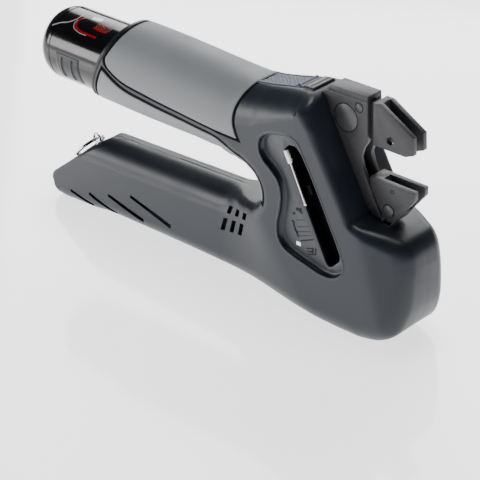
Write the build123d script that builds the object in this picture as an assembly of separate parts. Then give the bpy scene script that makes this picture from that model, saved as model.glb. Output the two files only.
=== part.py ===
from build123d import *
import math
import os

# Battery-powered hand crimping tool, modelled at real size in millimetres.
# Frame: +X towards the crimping head, +Z up, the tool resting on its underside,
# origin on the resting surface under the middle of the overall box.
# The near side (-Y) carries the recessed side panel with the service key.

# ---- driving dimensions --------------------------------------------------
REAR_X = -150.75
FRONT_X = 150.75
WALL = 2.4
COVER = 1.6
RUN_GAP = 0.3

HANDLE_HALF = 16.5
BODY_HALF = 25.0
HANDLE_RISE = 0.0394
HANDLE_TOP_AT_ORIGIN = 57.4

GAP_CENTRE = (30.0, 71.0)
GAP_R = 13.0

GRIP_Z = 108.0
BATTERY_R = 23.6
STICK_R = 20.9
CELL_R = 9.1
CELL_LENGTH = 65.0
COLLAR_X = -92.0
COLLAR_TILT = 24.2
COLLAR_WIDTH = 2.6

PLATE_T = 2.8
CORE_HALF = 3.0
HEAD_HALF = 6.0
FORK_SLOT = 5.9
JAW_TOP = 100.0
JAW_OPENING = 20.0
LOCK_PIN = (105.0, 139.7)
JAW_PIN = (127.5, 82.5)
MAIN_BOLT = (95.5, 130.7)
MAIN_BOLT_R = 8.6

MOTOR_X = (-62.0, -14.0)
DRIVE_Z = 29.0
MOTOR_R = 13.4
GEAR_MODULE = 0.6
SUN_TEETH = 12
PLANET_TEETH = 12
RING_TEETH = 36
GEAR_X = (-11.0, -3.0)
PLANETS = 3
SCREW_R = 4.0
SCREW_PITCH = 5.0
ROLLER_R = 6.0
RAM_X = 117.3
WEDGE_FOOT = (122.0, 22.0)
WEDGE_RISE = 33.0

BUTTON_X = (30.0, 66.0)
BUTTON_HALF = 9.0

SLOT_TOP = (68.4, 108.7)
SLOT_FOOT = (101.1, 45.2)
SLOT_HALF = 6.2
KEY_OFFSET = -4.0
PANEL_DEPTH = 3.2

EYE_AT = (-117.5, 41.2)
EYE_LEAN = 38.8
EYE_HEIGHT = 4.6
RING_R = 10.3
RING_WIRE = 1.0
RING_DROOP = 8.0

# Screws (x, z) that join the two housing halves.
SCREW_PLACES = [(-120.0, 26.0), (-84.0, 44.0), (-40.0, 47.0), (44.0, 47.0), (103.0, 67.5),
                (63.0, 123.5), (0.0, 106.0)]


# The roller touches the 45 degree wedge at rest, with the running gap between them.
ROLLER_AT = (RAM_X, sum(WEDGE_FOOT) - RAM_X + (ROLLER_R + RUN_GAP) * math.sqrt(2))


# ---- helpers -------------------------------------------------------------
def side_prism(points, half, y_mid=0.0):
    """Closed outline in the XZ plane, given as (x, z), made 2*half thick about y_mid."""
    outline = Polyline(*[(x, 0, z) for x, z in points], close=True)
    body = extrude(make_face(outline), amount=half, dir=(0, 1, 0), both=True)
    return Pos(0, y_mid, 0) * body


def plan_prism(points, low, high):
    """Closed outline in the XY plane, given as (x, y), standing from z=low to z=high."""
    outline = Polyline(*[(x, y, low) for x, y in points], close=True)
    return extrude(make_face(outline), amount=high - low, dir=(0, 0, 1))


def block(x_range, y_range, z_range):
    """Box between two corners."""
    size = [b - a for a, b in (x_range, y_range, z_range)]
    mid = [(a + b) / 2 for a, b in (x_range, y_range, z_range)]
    return Pos(*mid) * Box(*size)


def rod_x(x_range, radius, y=0.0, z=0.0):
    """Cylinder along X."""
    length = x_range[1] - x_range[0]
    mid = (x_range[0] + x_range[1]) / 2
    return Pos(mid, y, z) * Rot(0, 90, 0) * Cylinder(radius, length)


def rod_y(at, y_range, radius):
    """Cylinder along Y through the (x, z) point at."""
    length = y_range[1] - y_range[0]
    mid = (y_range[0] + y_range[1]) / 2
    return Pos(at[0], mid, at[1]) * Rot(90, 0, 0) * Cylinder(radius, length)


def near(body):
    """The part of a body on the -Y side."""
    return body & block((-200, 200), (-60, 0), (-20, 200))


def far(body):
    """The part of a body on the +Y side."""
    return body & block((-200, 200), (0, 60), (-20, 200))


def gear_face(teeth, backlash, addendum=0.85, dedendum=1.15, turn=0.0):
    """Toothed outline with straight flanks, one tooth centred on the angle turn (degrees)."""
    pitch_r = GEAR_MODULE * teeth / 2
    root_r = pitch_r - dedendum * GEAR_MODULE
    tip_r = pitch_r + addendum * GEAR_MODULE
    half = (math.pi * GEAR_MODULE / 2 - backlash) / 2
    slope = math.tan(math.radians(22))
    flank = [
        (root_r, half + slope * (pitch_r - root_r)),
        (tip_r, half - slope * (tip_r - pitch_r)),
    ]
    points = []
    for index in range(teeth):
        centre = math.radians(turn) + 2 * math.pi * index / teeth
        for side, ends in ((-1, flank), (1, flank[::-1])):
            for radius, half_width in ends:
                angle = centre + side * half_width / radius
                points.append((radius * math.cos(angle), radius * math.sin(angle)))
    return make_face(Polyline(*points, close=True))


def gear_along_x(face, x_range, y=0.0):
    """Outline drawn in a plane across the drive axis, made x_range long."""
    body = extrude(face, amount=x_range[1] - x_range[0])
    return Pos(x_range[0], y, DRIVE_Z) * Rot(0, 90, 0) * body


# ---- housing shapes ------------------------------------------------------
def handle_section(x, inset):
    """Cross-section of the lower handle: half-round top, rounded lower corners."""
    top = HANDLE_TOP_AT_ORIGIN + HANDLE_RISE * x - inset
    bottom = -1.0 + inset
    half = HANDLE_HALF - inset
    low_r = 10.0 - inset
    shoulder = top - half
    plane = Plane(origin=(x, 0, 0), x_dir=(0, 1, 0), z_dir=(1, 0, 0))
    edges = [
        Line((-half, bottom + low_r), (-half, shoulder)),
        ThreePointArc((-half, shoulder), (0, top), (half, shoulder)),
        Line((half, shoulder), (half, bottom + low_r)),
        Line((half, bottom + low_r), (half - low_r, bottom)),
        Line((half - low_r, bottom), (-half + low_r, bottom)),
        Line((-half + low_r, bottom), (-half, bottom + low_r)),
    ]
    return plane * make_face(edges)


def lower_handle(inset):
    """Lower handle bar, cut by its slanted rear face and its arched underside."""
    bar = loft([handle_section(REAR_X, inset), handle_section(70.0, inset)], ruled=True)
    lift = inset
    outline = [
        (-143.0 + inset, lift),
        (REAR_X + inset, 7.0 + inset * 0.5),
        (REAR_X + inset, 14.0 - inset * 0.5),
        (-147.0 + inset, 17.5 - inset * 0.5),
        (-101.0 + inset, 54.5 - inset * 0.5),
        (-90.0, 62.0),
        (70.0, 62.0),
        (70.0, 2.0 + lift),
        (-95.0, 2.0 + lift),
        (-112.0, lift),
    ]
    return bar & side_prism(outline, 30)


def belly(inset):
    """Wide foot of the column with the nose that bulges forward under the head."""
    side = [
        (20, 2.0 + inset), (70, 1.0 + inset), (89, inset), (111, inset), (131, 3.6 + inset),
        (144.0 - inset * 0.7, 13.0 + inset * 0.7), (148.6 - inset, 22.0),
        (FRONT_X - inset, 42.0), (FRONT_X - inset, 58.0),
        (146.6 - inset * 0.7, 68.7 - inset * 0.7), (130, 74.0 - inset),
        (112, 75.5 - inset), (80, 75.5 - inset), (46, 58.0 - inset), (20, 56.5 - inset),
    ]
    half = [
        (20, 16.5 - inset), (50, 19.5 - inset), (78, 24.0 - inset), (95, BODY_HALF - inset),
        (124, BODY_HALF - 0.5 - inset), (142 - inset * 0.5, 17.5 - inset),
        (FRONT_X - inset, 10.5 - inset * 0.5),
    ]
    plan = half + [(x, -y) for x, y in reversed(half)]
    section_r = 9.0
    body = side_prism(side, 30) & plan_prism(plan, -5, 90)
    core = block((0, 160), (-BODY_HALF + inset, BODY_HALF - inset), (inset, 75.6 - inset))
    core = fillet(core.edges().filter_by(Axis.X), section_r)
    return body & core


def column(inset):
    """Upright body between the two handles and the head, with its slanted front."""
    gap_x, gap_z = GAP_CENTRE
    reach = GAP_R + COVER + inset
    outline = [
        (26, 86 + inset), (26, 133.5 - inset), (44, 135.0 - inset), (66, 140.6 - inset),
        (80.6 - inset, 141.6 - inset), (114.0 - inset, 78.0), (114.0 - inset, 50.0),
        (60, 40.0), (34, 50.0), (26, 56.0 - inset),
    ]
    half = BODY_HALF - inset
    body = side_prism(outline, half)
    top_edges = body.edges().filter_by(Axis.Y, reverse=True).sort_by(Axis.Z)[-8:]
    body = chamfer(top_edges, 5.0)
    return body - rod_y((gap_x, gap_z), (-30, 30), reach)


GRIP_SECTIONS = [
    (-112.0, 25.3, 26.0, 109.2),
    (-79.0, 25.9, 27.8, 109.9),
    (-29.0, 25.9, 27.3, 109.2),
    (30.0, 25.2, 25.0, 108.6),
]


def grip(inset):
    """Round upper grip lofted through ellipses (x, half width, half height, centre z)."""
    faces = []
    for x, half_y, half_z, centre_z in GRIP_SECTIONS:
        plane = Plane(origin=(x, 0, centre_z), x_dir=(0, 1, 0), z_dir=(1, 0, 0))
        faces.append(plane * Ellipse(half_y - inset, half_z - inset))
    return loft(faces)


def collar_slab(front, back):
    """Tilted slab across the grip axis between two distances from the collar plane."""
    slab = Box(back - front, 90, 120)
    tilt = Pos(COLLAR_X, 0, GRIP_Z) * Rot(0, COLLAR_TILT, 0)
    return tilt * Pos((front + back) / 2, 0, 0) * slab


def ahead_of_collar(body, distance):
    """Cut away everything behind the tilted collar plane moved forward by distance."""
    return body - collar_slab(-150, distance)


def battery_bay(radius, stop_x):
    """Round bay along the grip axis that takes the stick of the battery pack."""
    return rod_x((-160, stop_x), radius, z=GRIP_Z)


def cover_zone():
    """Outline of the soft grip panels: above the side seam, back of the button."""
    return side_prism([(-130, 112), (-71, 108.8), (-22, 103.4), (22, 100.6), (24, 118),
                       (26.0, 134), (26.0, 150), (-130, 150)], 40)


def underside_zone():
    """Outline of the soft strip under the grip, one rib below the side seam."""
    return side_prism([(-110, 104), (-71, 104.2), (-22, 99.0), (22, 96.4), (22, 70),
                       (-110, 70)], 40)


def side_panel_outline(inset):
    """Outline of the recessed side panel in (x, z)."""
    return [
        (50.6 + inset, 112.2 - inset), (60.6, 115.7 - inset), (70.5, 117.5 - inset),
        (75.6 - inset, 115.0 - inset), (85.0 - inset, 99.5), (100.4 - inset, 69.7),
        (109.3 - inset, 49.8), (107.9 - inset, 42.6 + inset), (101.6, 37.1 + inset),
        (94.0, 36.1 + inset), (70.9, 41.2 + inset), (64.5 + inset, 43.7 + inset),
        (60.0 + inset, 48.2), (59.2 + inset, 56.8), (63.1 + inset, 78.0),
        (60.7 + inset, 86.9), (48.6 + inset, 96.8), (46.0 + inset, 103.0),
    ]


def slot_length():
    """Distance between the two ends of the side slot."""
    return math.hypot(SLOT_FOOT[0] - SLOT_TOP[0], SLOT_FOOT[1] - SLOT_TOP[1])


def along_slot(body):
    """Place a body drawn along Z from the origin so that it runs down the side slot."""
    run = (SLOT_FOOT[0] - SLOT_TOP[0], SLOT_FOOT[1] - SLOT_TOP[1])
    turn = math.degrees(math.atan2(-run[0], -run[1]))
    return Pos(SLOT_TOP[0], 0, SLOT_TOP[1]) * Rot(0, turn, 0) * body


def vent_cutters():
    """Slits through both side walls: two rows of short ones and four long slanted ones."""
    cutters = []
    for row_x, row_z, height in ((13.0, 46.9, 5.4), (8.1, 35.5, 9.4)):
        for index in range(3):
            place = Pos(row_x + 8.3 * index, 0, row_z + 1.4 * index)
            cutters.append(place * Rot(0, 20, 0) * Box(3.4, 80, height))
    long_slits = (((-131, 9.6), (-111.5, 4.6)), ((-113, 13.8), (-90, 5.8)),
                  ((-95, 18.8), (-63.5, 11.3)), ((-74, 25.3), (-38.5, 16.2)))
    for (x0, z0), (x1, z1) in long_slits:
        length = math.hypot(x1 - x0, z1 - z0)
        turn = math.degrees(math.atan2(z0 - z1, x1 - x0))
        mid = ((x0 + x1) / 2, (z0 + z1) / 2)
        cutters.append(Pos(mid[0], 0, mid[1]) * Rot(0, turn, 0) * Box(length, 80, 2.4))
    return cutters


def button_well(clear):
    """Opening in the top of the column that guides the thumb button."""
    x_range = (BUTTON_X[0] - clear, BUTTON_X[1] + clear)
    y_range = (-BUTTON_HALF - clear, BUTTON_HALF + clear)
    return block(x_range, y_range, (118, 150))


def housing():
    """Hollow two-part housing with openings for the head, button, panel and vents."""
    shell = lower_handle(0) + belly(0) + column(0)
    shell = shell + ahead_of_collar(grip(COVER), COLLAR_WIDTH)
    rail = ahead_of_collar(grip(0), COLLAR_WIDTH)
    shell = shell + (rail - cover_zone() - underside_zone())
    hollow = lower_handle(WALL) + belly(WALL) + column(WALL)
    hollow = hollow + grip(COVER + WALL)
    shell = shell - hollow
    for place in SCREW_PLACES:
        shell = shell + (rod_y(place, (-24.0, 24.0), 3.4) & (hollow + shell))
        shell = shell - rod_y(place, (-10.0, 11.0), 1.5) - rod_y(place, (10.0, 40.0), 3.0)
    shell = shell - side_prism(head_pocket_outline(), HEAD_HALF + 0.2)
    shell = shell - rod_y(MAIN_BOLT, (-7.8, 7.8), MAIN_BOLT_R + 0.3)
    shell = shell - button_well(0.25)
    panel_window = side_prism(side_panel_outline(0), 6, y_mid=-BODY_HALF)
    shell = shell - panel_window
    for cutter in vent_cutters():
        shell = shell - cutter
    shell = shell - ring_eye_hole()
    return shell


def head_pocket_outline():
    """Slot in the column's front wall that the head plates pass through."""
    return [(70, 150), (100, 150), (100, 120), (125, 70.0), (104, 70.0), (70, 132)]


def on_rear_face(body):
    """Place a body drawn along +Z so that it stands square on the slanted rear face."""
    return Pos(EYE_AT[0], 0, EYE_AT[1]) * Rot(0, -EYE_LEAN, 0) * body


def ring_eye_hole():
    """Hole in the slanted rear face for the screw-eye's shank."""
    return on_rear_face(Cylinder(1.5, 20.0))


# ---- head ----------------------------------------------------------------
def head_plate_outline():
    """Side view of the steel side plates with the throat between the jaws."""
    return [
        (82.5, 144.0), (111.2, 145.2), (111.2, 120.0), (108.0, 115.0), (106.2, 109.0),
        (108.0, 103.0), (111.2, 96.4), (122.8, 73.6), (114.0, 73.6), (114.0, 77.5),
        (98.5, 77.5), (84.0, 104.0), (69.0, 136.0),
    ]


def head_plate(side):
    """One steel side plate of the head, bored for the bolts."""
    y_mid = side * (HEAD_HALF - PLATE_T / 2)
    plate = side_prism(head_plate_outline(), PLATE_T / 2, y_mid)
    plate = plate - rod_y(MAIN_BOLT, (-10, 10), 7.0)
    return plate - rod_y(LOCK_PIN, (-10, 10), 2.0)


def head_core():
    """Steel core between the side plates, carrying the ridge on top of the head."""
    core = side_prism([(82.5, 144.0), (111.0, 145.2), (111.0, 120.5), (104.0, 115.0),
                       (102.0, 108.0), (100.0, 96.0), (92.0, 96.0), (71.0, 136.0)], CORE_HALF)
    ridge = side_prism([(82.5, 144.0), (84.5, 147.6), (111.0, 148.0), (111.2, 145.2)],
                       HEAD_HALF)
    core = core + ridge
    core = core - rod_y(MAIN_BOLT, (-10, 10), 7.0)
    return core - rod_y(LOCK_PIN, (-10, 10), 2.0)


def jaw_slot(x_range, z_range):
    """Slot between the two prongs of a jaw."""
    half = FORK_SLOT / 2
    return block(x_range, (-half, half), z_range)


def upper_jaw():
    """Fixed upper jaw: two prongs ahead of the plates, tied to the core by a tongue."""
    foot = JAW_TOP + JAW_OPENING
    outline = [
        (115.2, 146.0), (120.4, 146.0), (143.4, 132.9), (143.8, foot + 2.5), (138.0, foot),
        (115.2, foot),
    ]
    jaw = side_prism(outline, HEAD_HALF)
    tongue = block((111.05, 115.4), (-CORE_HALF, CORE_HALF), (121.0, 144.0))
    jaw = jaw - jaw_slot((119.5, 150), (110, 150))
    jaw = jaw + tongue
    return jaw - rod_y((127.2, 126.3), (-10, 10), 2.5)


def lower_jaw():
    """Moving lower jaw: two prongs on a tongue that slides between the side plates."""
    outline = [
        (113.6, JAW_TOP), (145.4, JAW_TOP), (145.4, 95.0), (130.0, 75.5), (126.0, 75.5),
        (124.2, 76.6), (119.0, 84.0), (113.6, 93.5),
    ]
    jaw = side_prism(outline, HEAD_HALF)
    jaw = jaw - jaw_slot((121.0, 150), (84, 110))
    jaw = jaw - rod_y(JAW_PIN, (-10, 10), 3.2)
    tongue_half = CORE_HALF - 0.1
    tongue = block((113.0, 121.5), (-tongue_half, tongue_half), (55.0, 99.0))
    return jaw + tongue


def ram_bar():
    """Push bar under the lower jaw, forked at its foot for the roller."""
    bar = block((RAM_X - 6, RAM_X + 6), (-5.5, 5.5), (31.0, 55.0))
    bar = bar - block((RAM_X - 8, RAM_X + 8), (-3.3, 3.3), (30.0, 43.5))
    return bar - rod_y(ROLLER_AT, (-10, 10), 2.0)


def ram_roller():
    """Hardened roller that rides up the wedge."""
    return rod_y(ROLLER_AT, (-3.0, 3.0), ROLLER_R) - rod_y(ROLLER_AT, (-4, 4), 2.05)


def roller_pin():
    """Pin of the roller, pressed into the fork of the ram."""
    return rod_y(ROLLER_AT, (-5.5, 5.5), 2.0)


def ram_guide():
    """Bronze guide bars on both sides of the ram, held inside the nose."""
    guides = []
    for side in (-1, 1):
        y_range = sorted((side * 5.7, side * 9.5))
        guides.append(block((RAM_X - 9, RAM_X + 9), y_range, (44.0, 64.0)))
    return guides


# ---- drive ---------------------------------------------------------------
def motor_can():
    """Steel can of the motor with its magnets' clearance inside."""
    can = rod_x(MOTOR_X, MOTOR_R, z=DRIVE_Z)
    can = can - rod_x((MOTOR_X[0] + 2, MOTOR_X[1] - 2), MOTOR_R - 1.6, z=DRIVE_Z)
    return can - rod_x((MOTOR_X[0] + 1, MOTOR_X[1] + 1), 2.6, z=DRIVE_Z)


def rotor():
    """Rotor with its shaft and the sun pinion cut on the shaft's end."""
    core = rod_x((MOTOR_X[0] + 8, MOTOR_X[1] - 8), 9.5, z=DRIVE_Z)
    shaft = rod_x((MOTOR_X[0] + 3, GEAR_X[0] - 0.4), 1.6, z=DRIVE_Z)
    commutator = rod_x((MOTOR_X[0] + 4, MOTOR_X[0] + 8), 4.0, z=DRIVE_Z)
    sun = gear_along_x(gear_face(SUN_TEETH, 0.16), (GEAR_X[0] - 0.4, GEAR_X[1]))
    return core + shaft + commutator + sun


def planet_angle(index):
    """Place of one planet around the drive axis, in degrees from +Z."""
    return 360.0 * index / PLANETS


def planet_centre(index):
    """Centre (y, z) of one planet gear."""
    reach = GEAR_MODULE * (SUN_TEETH + PLANET_TEETH) / 2
    angle = math.radians(planet_angle(index))
    return (reach * math.sin(angle), DRIVE_Z + reach * math.cos(angle))


def planet_gear(index):
    """One planet gear bored for its pin, in mesh with the sun and the ring gear."""
    face = gear_face(PLANET_TEETH, 0.16, turn=180.0 / PLANET_TEETH)
    body = extrude(face, amount=GEAR_X[1] - GEAR_X[0] - 0.6)
    y, z = planet_centre(index)
    gear = Pos(GEAR_X[0] + 0.3, y, z) * Rot(0, 90, 0) * body
    return gear - rod_x((-20, 5), 1.25, y=y, z=z)


def ring_gear():
    """Fixed ring gear with internal teeth."""
    ring = rod_x(GEAR_X, 13.4, z=DRIVE_Z)
    tool = gear_face(RING_TEETH, -0.16, addendum=1.15, dedendum=0.8, turn=180 / RING_TEETH)
    return ring - gear_along_x(tool, (GEAR_X[0] - 1, GEAR_X[1] + 1))


def planet_carrier():
    """Carrier plate with the three planet pins and the drive hub."""
    plate = rod_x((GEAR_X[1] + 0.3, GEAR_X[1] + 3.3), 9.6, z=DRIVE_Z)
    hub = rod_x((GEAR_X[1] + 3.3, GEAR_X[1] + 8.0), 5.0, z=DRIVE_Z)
    carrier = plate + hub
    for index in range(PLANETS):
        y, z = planet_centre(index)
        carrier = carrier + rod_x((GEAR_X[0] + 0.4, GEAR_X[1] + 1.0), 1.2, y=y, z=z)
    return carrier


def gearbox_case():
    """Front bearing cap of the gearbox."""
    case = rod_x((GEAR_X[1], GEAR_X[1] + 9.0), 13.4, z=DRIVE_Z)
    case = case - rod_x((GEAR_X[1] - 1, GEAR_X[1] + 3.7), 10.0, z=DRIVE_Z)
    return case - rod_x((GEAR_X[1], GEAR_X[1] + 10.0), 5.05, z=DRIVE_Z)


def lead_screw():
    """Drive screw with a ridge for every turn of its thread."""
    start = GEAR_X[1] + 8.0
    end = 103.0
    screw = rod_x((start, end), SCREW_R - 0.5, z=DRIVE_Z)
    turns = int((end - start - 24) / SCREW_PITCH)
    for index in range(turns):
        x = start + 20 + SCREW_PITCH * index
        screw = screw + rod_x((x, x + SCREW_PITCH * 0.45), SCREW_R, z=DRIVE_Z)
    return screw


def screw_bearing():
    """Thrust bearing that holds the back of the drive screw."""
    bearing = rod_x((8.0, 14.0), 10.0, z=DRIVE_Z)
    return bearing - rod_x((7, 15), SCREW_R - 0.45, z=DRIVE_Z)


def wedge_carriage():
    """Nut and 45 degree wedge in one slider that lifts the roller."""
    foot_x, foot_z = WEDGE_FOOT
    top_x = foot_x - WEDGE_RISE
    top_z = foot_z + WEDGE_RISE
    outline = [(66.0, 16.0), (foot_x, 16.0), (foot_x, foot_z), (top_x, top_z),
               (top_x - 6, top_z), (top_x - 6, 44.0), (66.0, 44.0)]
    wedge = side_prism(outline, 2.9)
    nut = rod_x((66.0, 84.0), 9.5, z=DRIVE_Z)
    sleeve = rod_x((84.0, 106.0), 6.5, z=DRIVE_Z)
    bore = rod_x((60.0, 105.0), SCREW_R + 0.08, z=DRIVE_Z)
    return wedge + nut + sleeve - bore


def carriage_rail():
    """Hardened rail on the belly's floor that the wedge slides on."""
    return block((60.0, 142.0), (-6.0, 6.0), (2.0, 15.7)) & belly(WALL + 0.05)


# ---- electrics -----------------------------------------------------------
def circuit_board():
    """Control board standing in the column."""
    return block((50.0, 68.0), (8.0, 9.6), (66.0, 112.0))


def board_chips():
    """Packages soldered to the control board."""
    chips = []
    for index in range(3):
        low = 70.0 + 13.0 * index
        chips.append(block((54.0, 64.0), (5.6, 8.0), (low, low + 8.0)))
    return chips


def switch_module():
    """Switch under the thumb button."""
    body = block((38.0, 60.0), (-7.0, 7.0), (112.5, 120.0))
    return body + block((44.0, 54.0), (-3.0, 3.0), (120.0, 122.0))


def thumb_button():
    """Thumb button with its raised ridge at the front."""
    outline = [(BUTTON_X[0], 132.9), (36.0, 134.4), (60.0, 139.6), (61.5, 142.0),
               (65.2, 142.6), (BUTTON_X[1], 140.9), (BUTTON_X[1], 128.5), (BUTTON_X[0], 128.5)]
    cap = side_prism(outline, BUTTON_HALF)
    stem = block((46.5, 51.5), (-2.4, 2.4), (124.5, 128.6))
    return cap + stem


def button_spring():
    """Return spring between the switch and the button, one ring for every coil."""
    coils = []
    for index in range(4):
        at = Pos(49.0, 0, 123.0 + 1.35 * index)
        coils.append(at * (Cylinder(4.6, 0.7) - Cylinder(3.9, 0.7)))
    return coils


def terminal_block():
    """Contact block at the inner end of the battery bay."""
    return rod_x((-56.0, -46.0), 12.0, z=GRIP_Z)


def terminal_blades():
    """Spring blades that reach into the battery pack."""
    return [block((-60.5, -56.0), (y - 0.5, y + 0.5), (104.0, 113.0)) for y in (-6.0, 0.0, 6.0)]


# ---- battery -------------------------------------------------------------
def cell_centre(index):
    """Centre (y, z) of one cell around the grip axis."""
    angle = math.radians(90 + 120 * index)
    reach = 10.6
    return (reach * math.cos(angle), GRIP_Z + reach * math.sin(angle))


def latch_pocket(side, clear):
    """Pocket in the pack's side for one release latch."""
    y_range = sorted((side * (19.8 - clear), side * 26.0))
    return block((-131.0 - clear, -114.0 + clear), y_range, (94.5 - clear, 109.5 + clear))


def battery_case():
    """Battery case: round outer body, slanted front edge and inner stick."""
    outer = rod_x((-146.0, -60), BATTERY_R, z=GRIP_Z) - collar_slab(-RUN_GAP, 150)
    stick = rod_x((-146.0, -61.0), STICK_R, z=GRIP_Z)
    case = outer + stick - rod_x((-150, -64.5), STICK_R - 1.0, z=GRIP_Z)
    for y in (-6.0, 0.0, 6.0):
        case = case - block((-66, -60), (y - 0.9, y + 0.9), (103.5, 113.5))
    for side in (-1, 1):
        case = case - latch_pocket(side, 0.25)
    return case


def battery_end_cap():
    """Domed end cap of the battery pack."""
    cap = rod_x((REAR_X, -146.0), BATTERY_R, z=GRIP_Z)
    return chamfer(cap.edges().sort_by(Axis.X)[0], 3.0)


def battery_cells():
    """Three round cells inside the pack."""
    cells = []
    for index in range(3):
        y, z = cell_centre(index)
        cells.append(rod_x((-138.0, -138.0 + CELL_LENGTH), CELL_R, y=y, z=z))
    return cells


def battery_latch(side):
    """One release latch with grip ribs, standing a little proud of the pack."""
    y_range = sorted((side * 21.4, side * 23.2))
    latch = block((-130.8, -114.2), y_range, (94.7, 109.3))
    for index in range(3):
        x = -128.0 + 4.6 * index
        rib_y = sorted((side * 23.0, side * 24.1))
        latch = latch + block((x, x + 1.6), rib_y, (96.5, 107.5))
    return latch


def battery_trim():
    """Printed metal-look band on the pack's upper side, a thin curved skin."""
    skin = rod_x((-126.0, -104.0), BATTERY_R + 0.5, z=GRIP_Z)
    skin = skin - rod_x((-127.0, -103.0), BATTERY_R, z=GRIP_Z)
    zone = side_prism([(-126, 121), (-107, 122.5), (-100, 135), (-121, 135)], 40)
    skin = skin & zone
    return near(skin) - collar_slab(-1.5, 150)


def rear_collar():
    """Rim at the back of the grip that frames the battery."""
    rim = grip(0) & collar_slab(0, COLLAR_WIDTH - 0.05)
    return rim - battery_bay(STICK_R + 0.4, 0)


def bay_liner():
    """Thin guide tube in the grip for the battery's stick."""
    tube = rod_x((-68, -58), STICK_R + 0.5, z=GRIP_Z)
    return tube - battery_bay(STICK_R + 0.25, 0)


# ---- panel, key and small parts --------------------------------------------
def slot_trough(half_width, depth, ends):
    """Round-ended trough along the side slot."""
    length = slot_length() + 2 * ends
    body = Box(2 * half_width, depth, length)
    return along_slot(Pos(0, -BODY_HALF + depth / 2 - 1, -length / 2 + ends) * body)


def side_panel():
    """Recessed black side panel with its deep slot."""
    floor_y = -BODY_HALF + PANEL_DEPTH
    panel = side_prism(side_panel_outline(0.1), 2.3, y_mid=floor_y - 0.3)
    panel = panel - side_prism(side_panel_outline(1.8), 3.0, y_mid=floor_y - 3.0)
    trough = slot_trough(SLOT_HALF + 1.2, 12.5, 1.2)
    panel = panel + (trough & block((0, 160), (floor_y, -8), (0, 140)))
    return panel - slot_trough(SLOT_HALF, 11.0, 0)


def key_clip():
    """Clip at the bottom of the slot that holds the service key."""
    clip = Box(4.0, 2.0, 6.0)
    return along_slot(Pos(KEY_OFFSET, -16.0, -27.0) * clip)


def service_key():
    """Service key: knurled head on a thin rod, held in the side slot."""
    head = Pos(KEY_OFFSET, -19.4, -4.8) * Cylinder(2.0, 9.0)
    rod = Pos(KEY_OFFSET, -19.4, -21.0) * Cylinder(1.0, 26.0)
    hook = Pos(KEY_OFFSET, -19.4, -33.5) * Cylinder(1.5, 1.6)
    return along_slot(head + rod + hook)


def setting_scale():
    """Scale plate beside the slot."""
    plate = Box(7.0, 0.5, 20.0)
    y = -BODY_HALF + PANEL_DEPTH - 0.25
    return along_slot(Pos(-14.5, y, -46.0) * plate)


def lamp_lens():
    """Lens of the status lamp in the side panel."""
    y = -BODY_HALF + PANEL_DEPTH - 0.8
    return Pos(73.3, y, 48.2) * Box(4.0, 1.6, 3.2)


def foot_pad():
    """Rubber pad let into the arched underside of the lower handle."""
    return block((-31.0, 1.0), (-6.0, 6.0), (0.2, 3.0)) - lower_handle(0)


def ring_eye():
    """Screw-eye on the slanted rear face."""
    eye = Pos(0, 0, EYE_HEIGHT) * Rot(90, 0, 0) * Torus(3.0, 0.9)
    shank = Pos(0, 0, -3.9) * Cylinder(1.5, 11.0)
    flange = Pos(0, 0, 0.85) * Cylinder(2.6, 1.5)
    return on_rear_face(eye + shank + flange)


def key_ring():
    """Key ring threaded through the eye, lying back over the slanted face."""
    swing = Pos(0, 0, EYE_HEIGHT) * Rot(0, -RING_DROOP, 0)
    return on_rear_face(swing * Pos(-RING_R + 0.2, 0, 0) * Torus(RING_R, RING_WIRE))


def main_bolt():
    """Main head bolt: wide flat disc on each side and a shank between."""
    x, z = MAIN_BOLT
    bolt = rod_y((x, z), (-HEAD_HALF - 1.2, HEAD_HALF + 1.2), MAIN_BOLT_R)
    waist = block((80, 112), (-HEAD_HALF, HEAD_HALF), (115, 142)) - rod_y((x, z), (-9, 9), 7.0)
    return bolt - waist


def lock_pin():
    """Small pin beside the main bolt that stops it from turning."""
    return rod_y(LOCK_PIN, (-HEAD_HALF - 0.6, HEAD_HALF + 0.6), 2.0)


def jaw_pin():
    """Pin across the lower jaw."""
    return rod_y(JAW_PIN, (-HEAD_HALF - 0.5, HEAD_HALF + 0.5), 3.2)


def housing_screws():
    """Screws that join the two housing halves, set in from the far side."""
    screws = []
    for place in SCREW_PLACES:
        screws.append(rod_y(place, (-9.8, 10.0), 1.5) + rod_y(place, (10.0, 12.5), 2.9))
    return screws


def vent_mesh():
    """Dust screen behind the short vents, one curved sheet on each side."""
    sheet = lower_handle(WALL + 0.15) - lower_handle(WALL + 0.65)
    sheet = sheet & block((3.0, 36.0), (-30, 30), (29.0, 54.0))
    middle = block((0, 60), (-4, 4), (25, 60))
    return [near(sheet - middle), far(sheet - middle)]


# ---- assembly --------------------------------------------------------------
def write(node, shape):
    """Write one node as STEP, joining a list of separate solids into a group."""
    if isinstance(shape, (list, tuple)):
        shape = Compound(children=list(shape))
    shape.label = node
    export_step(shape, f"parts/{node}.step")


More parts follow.
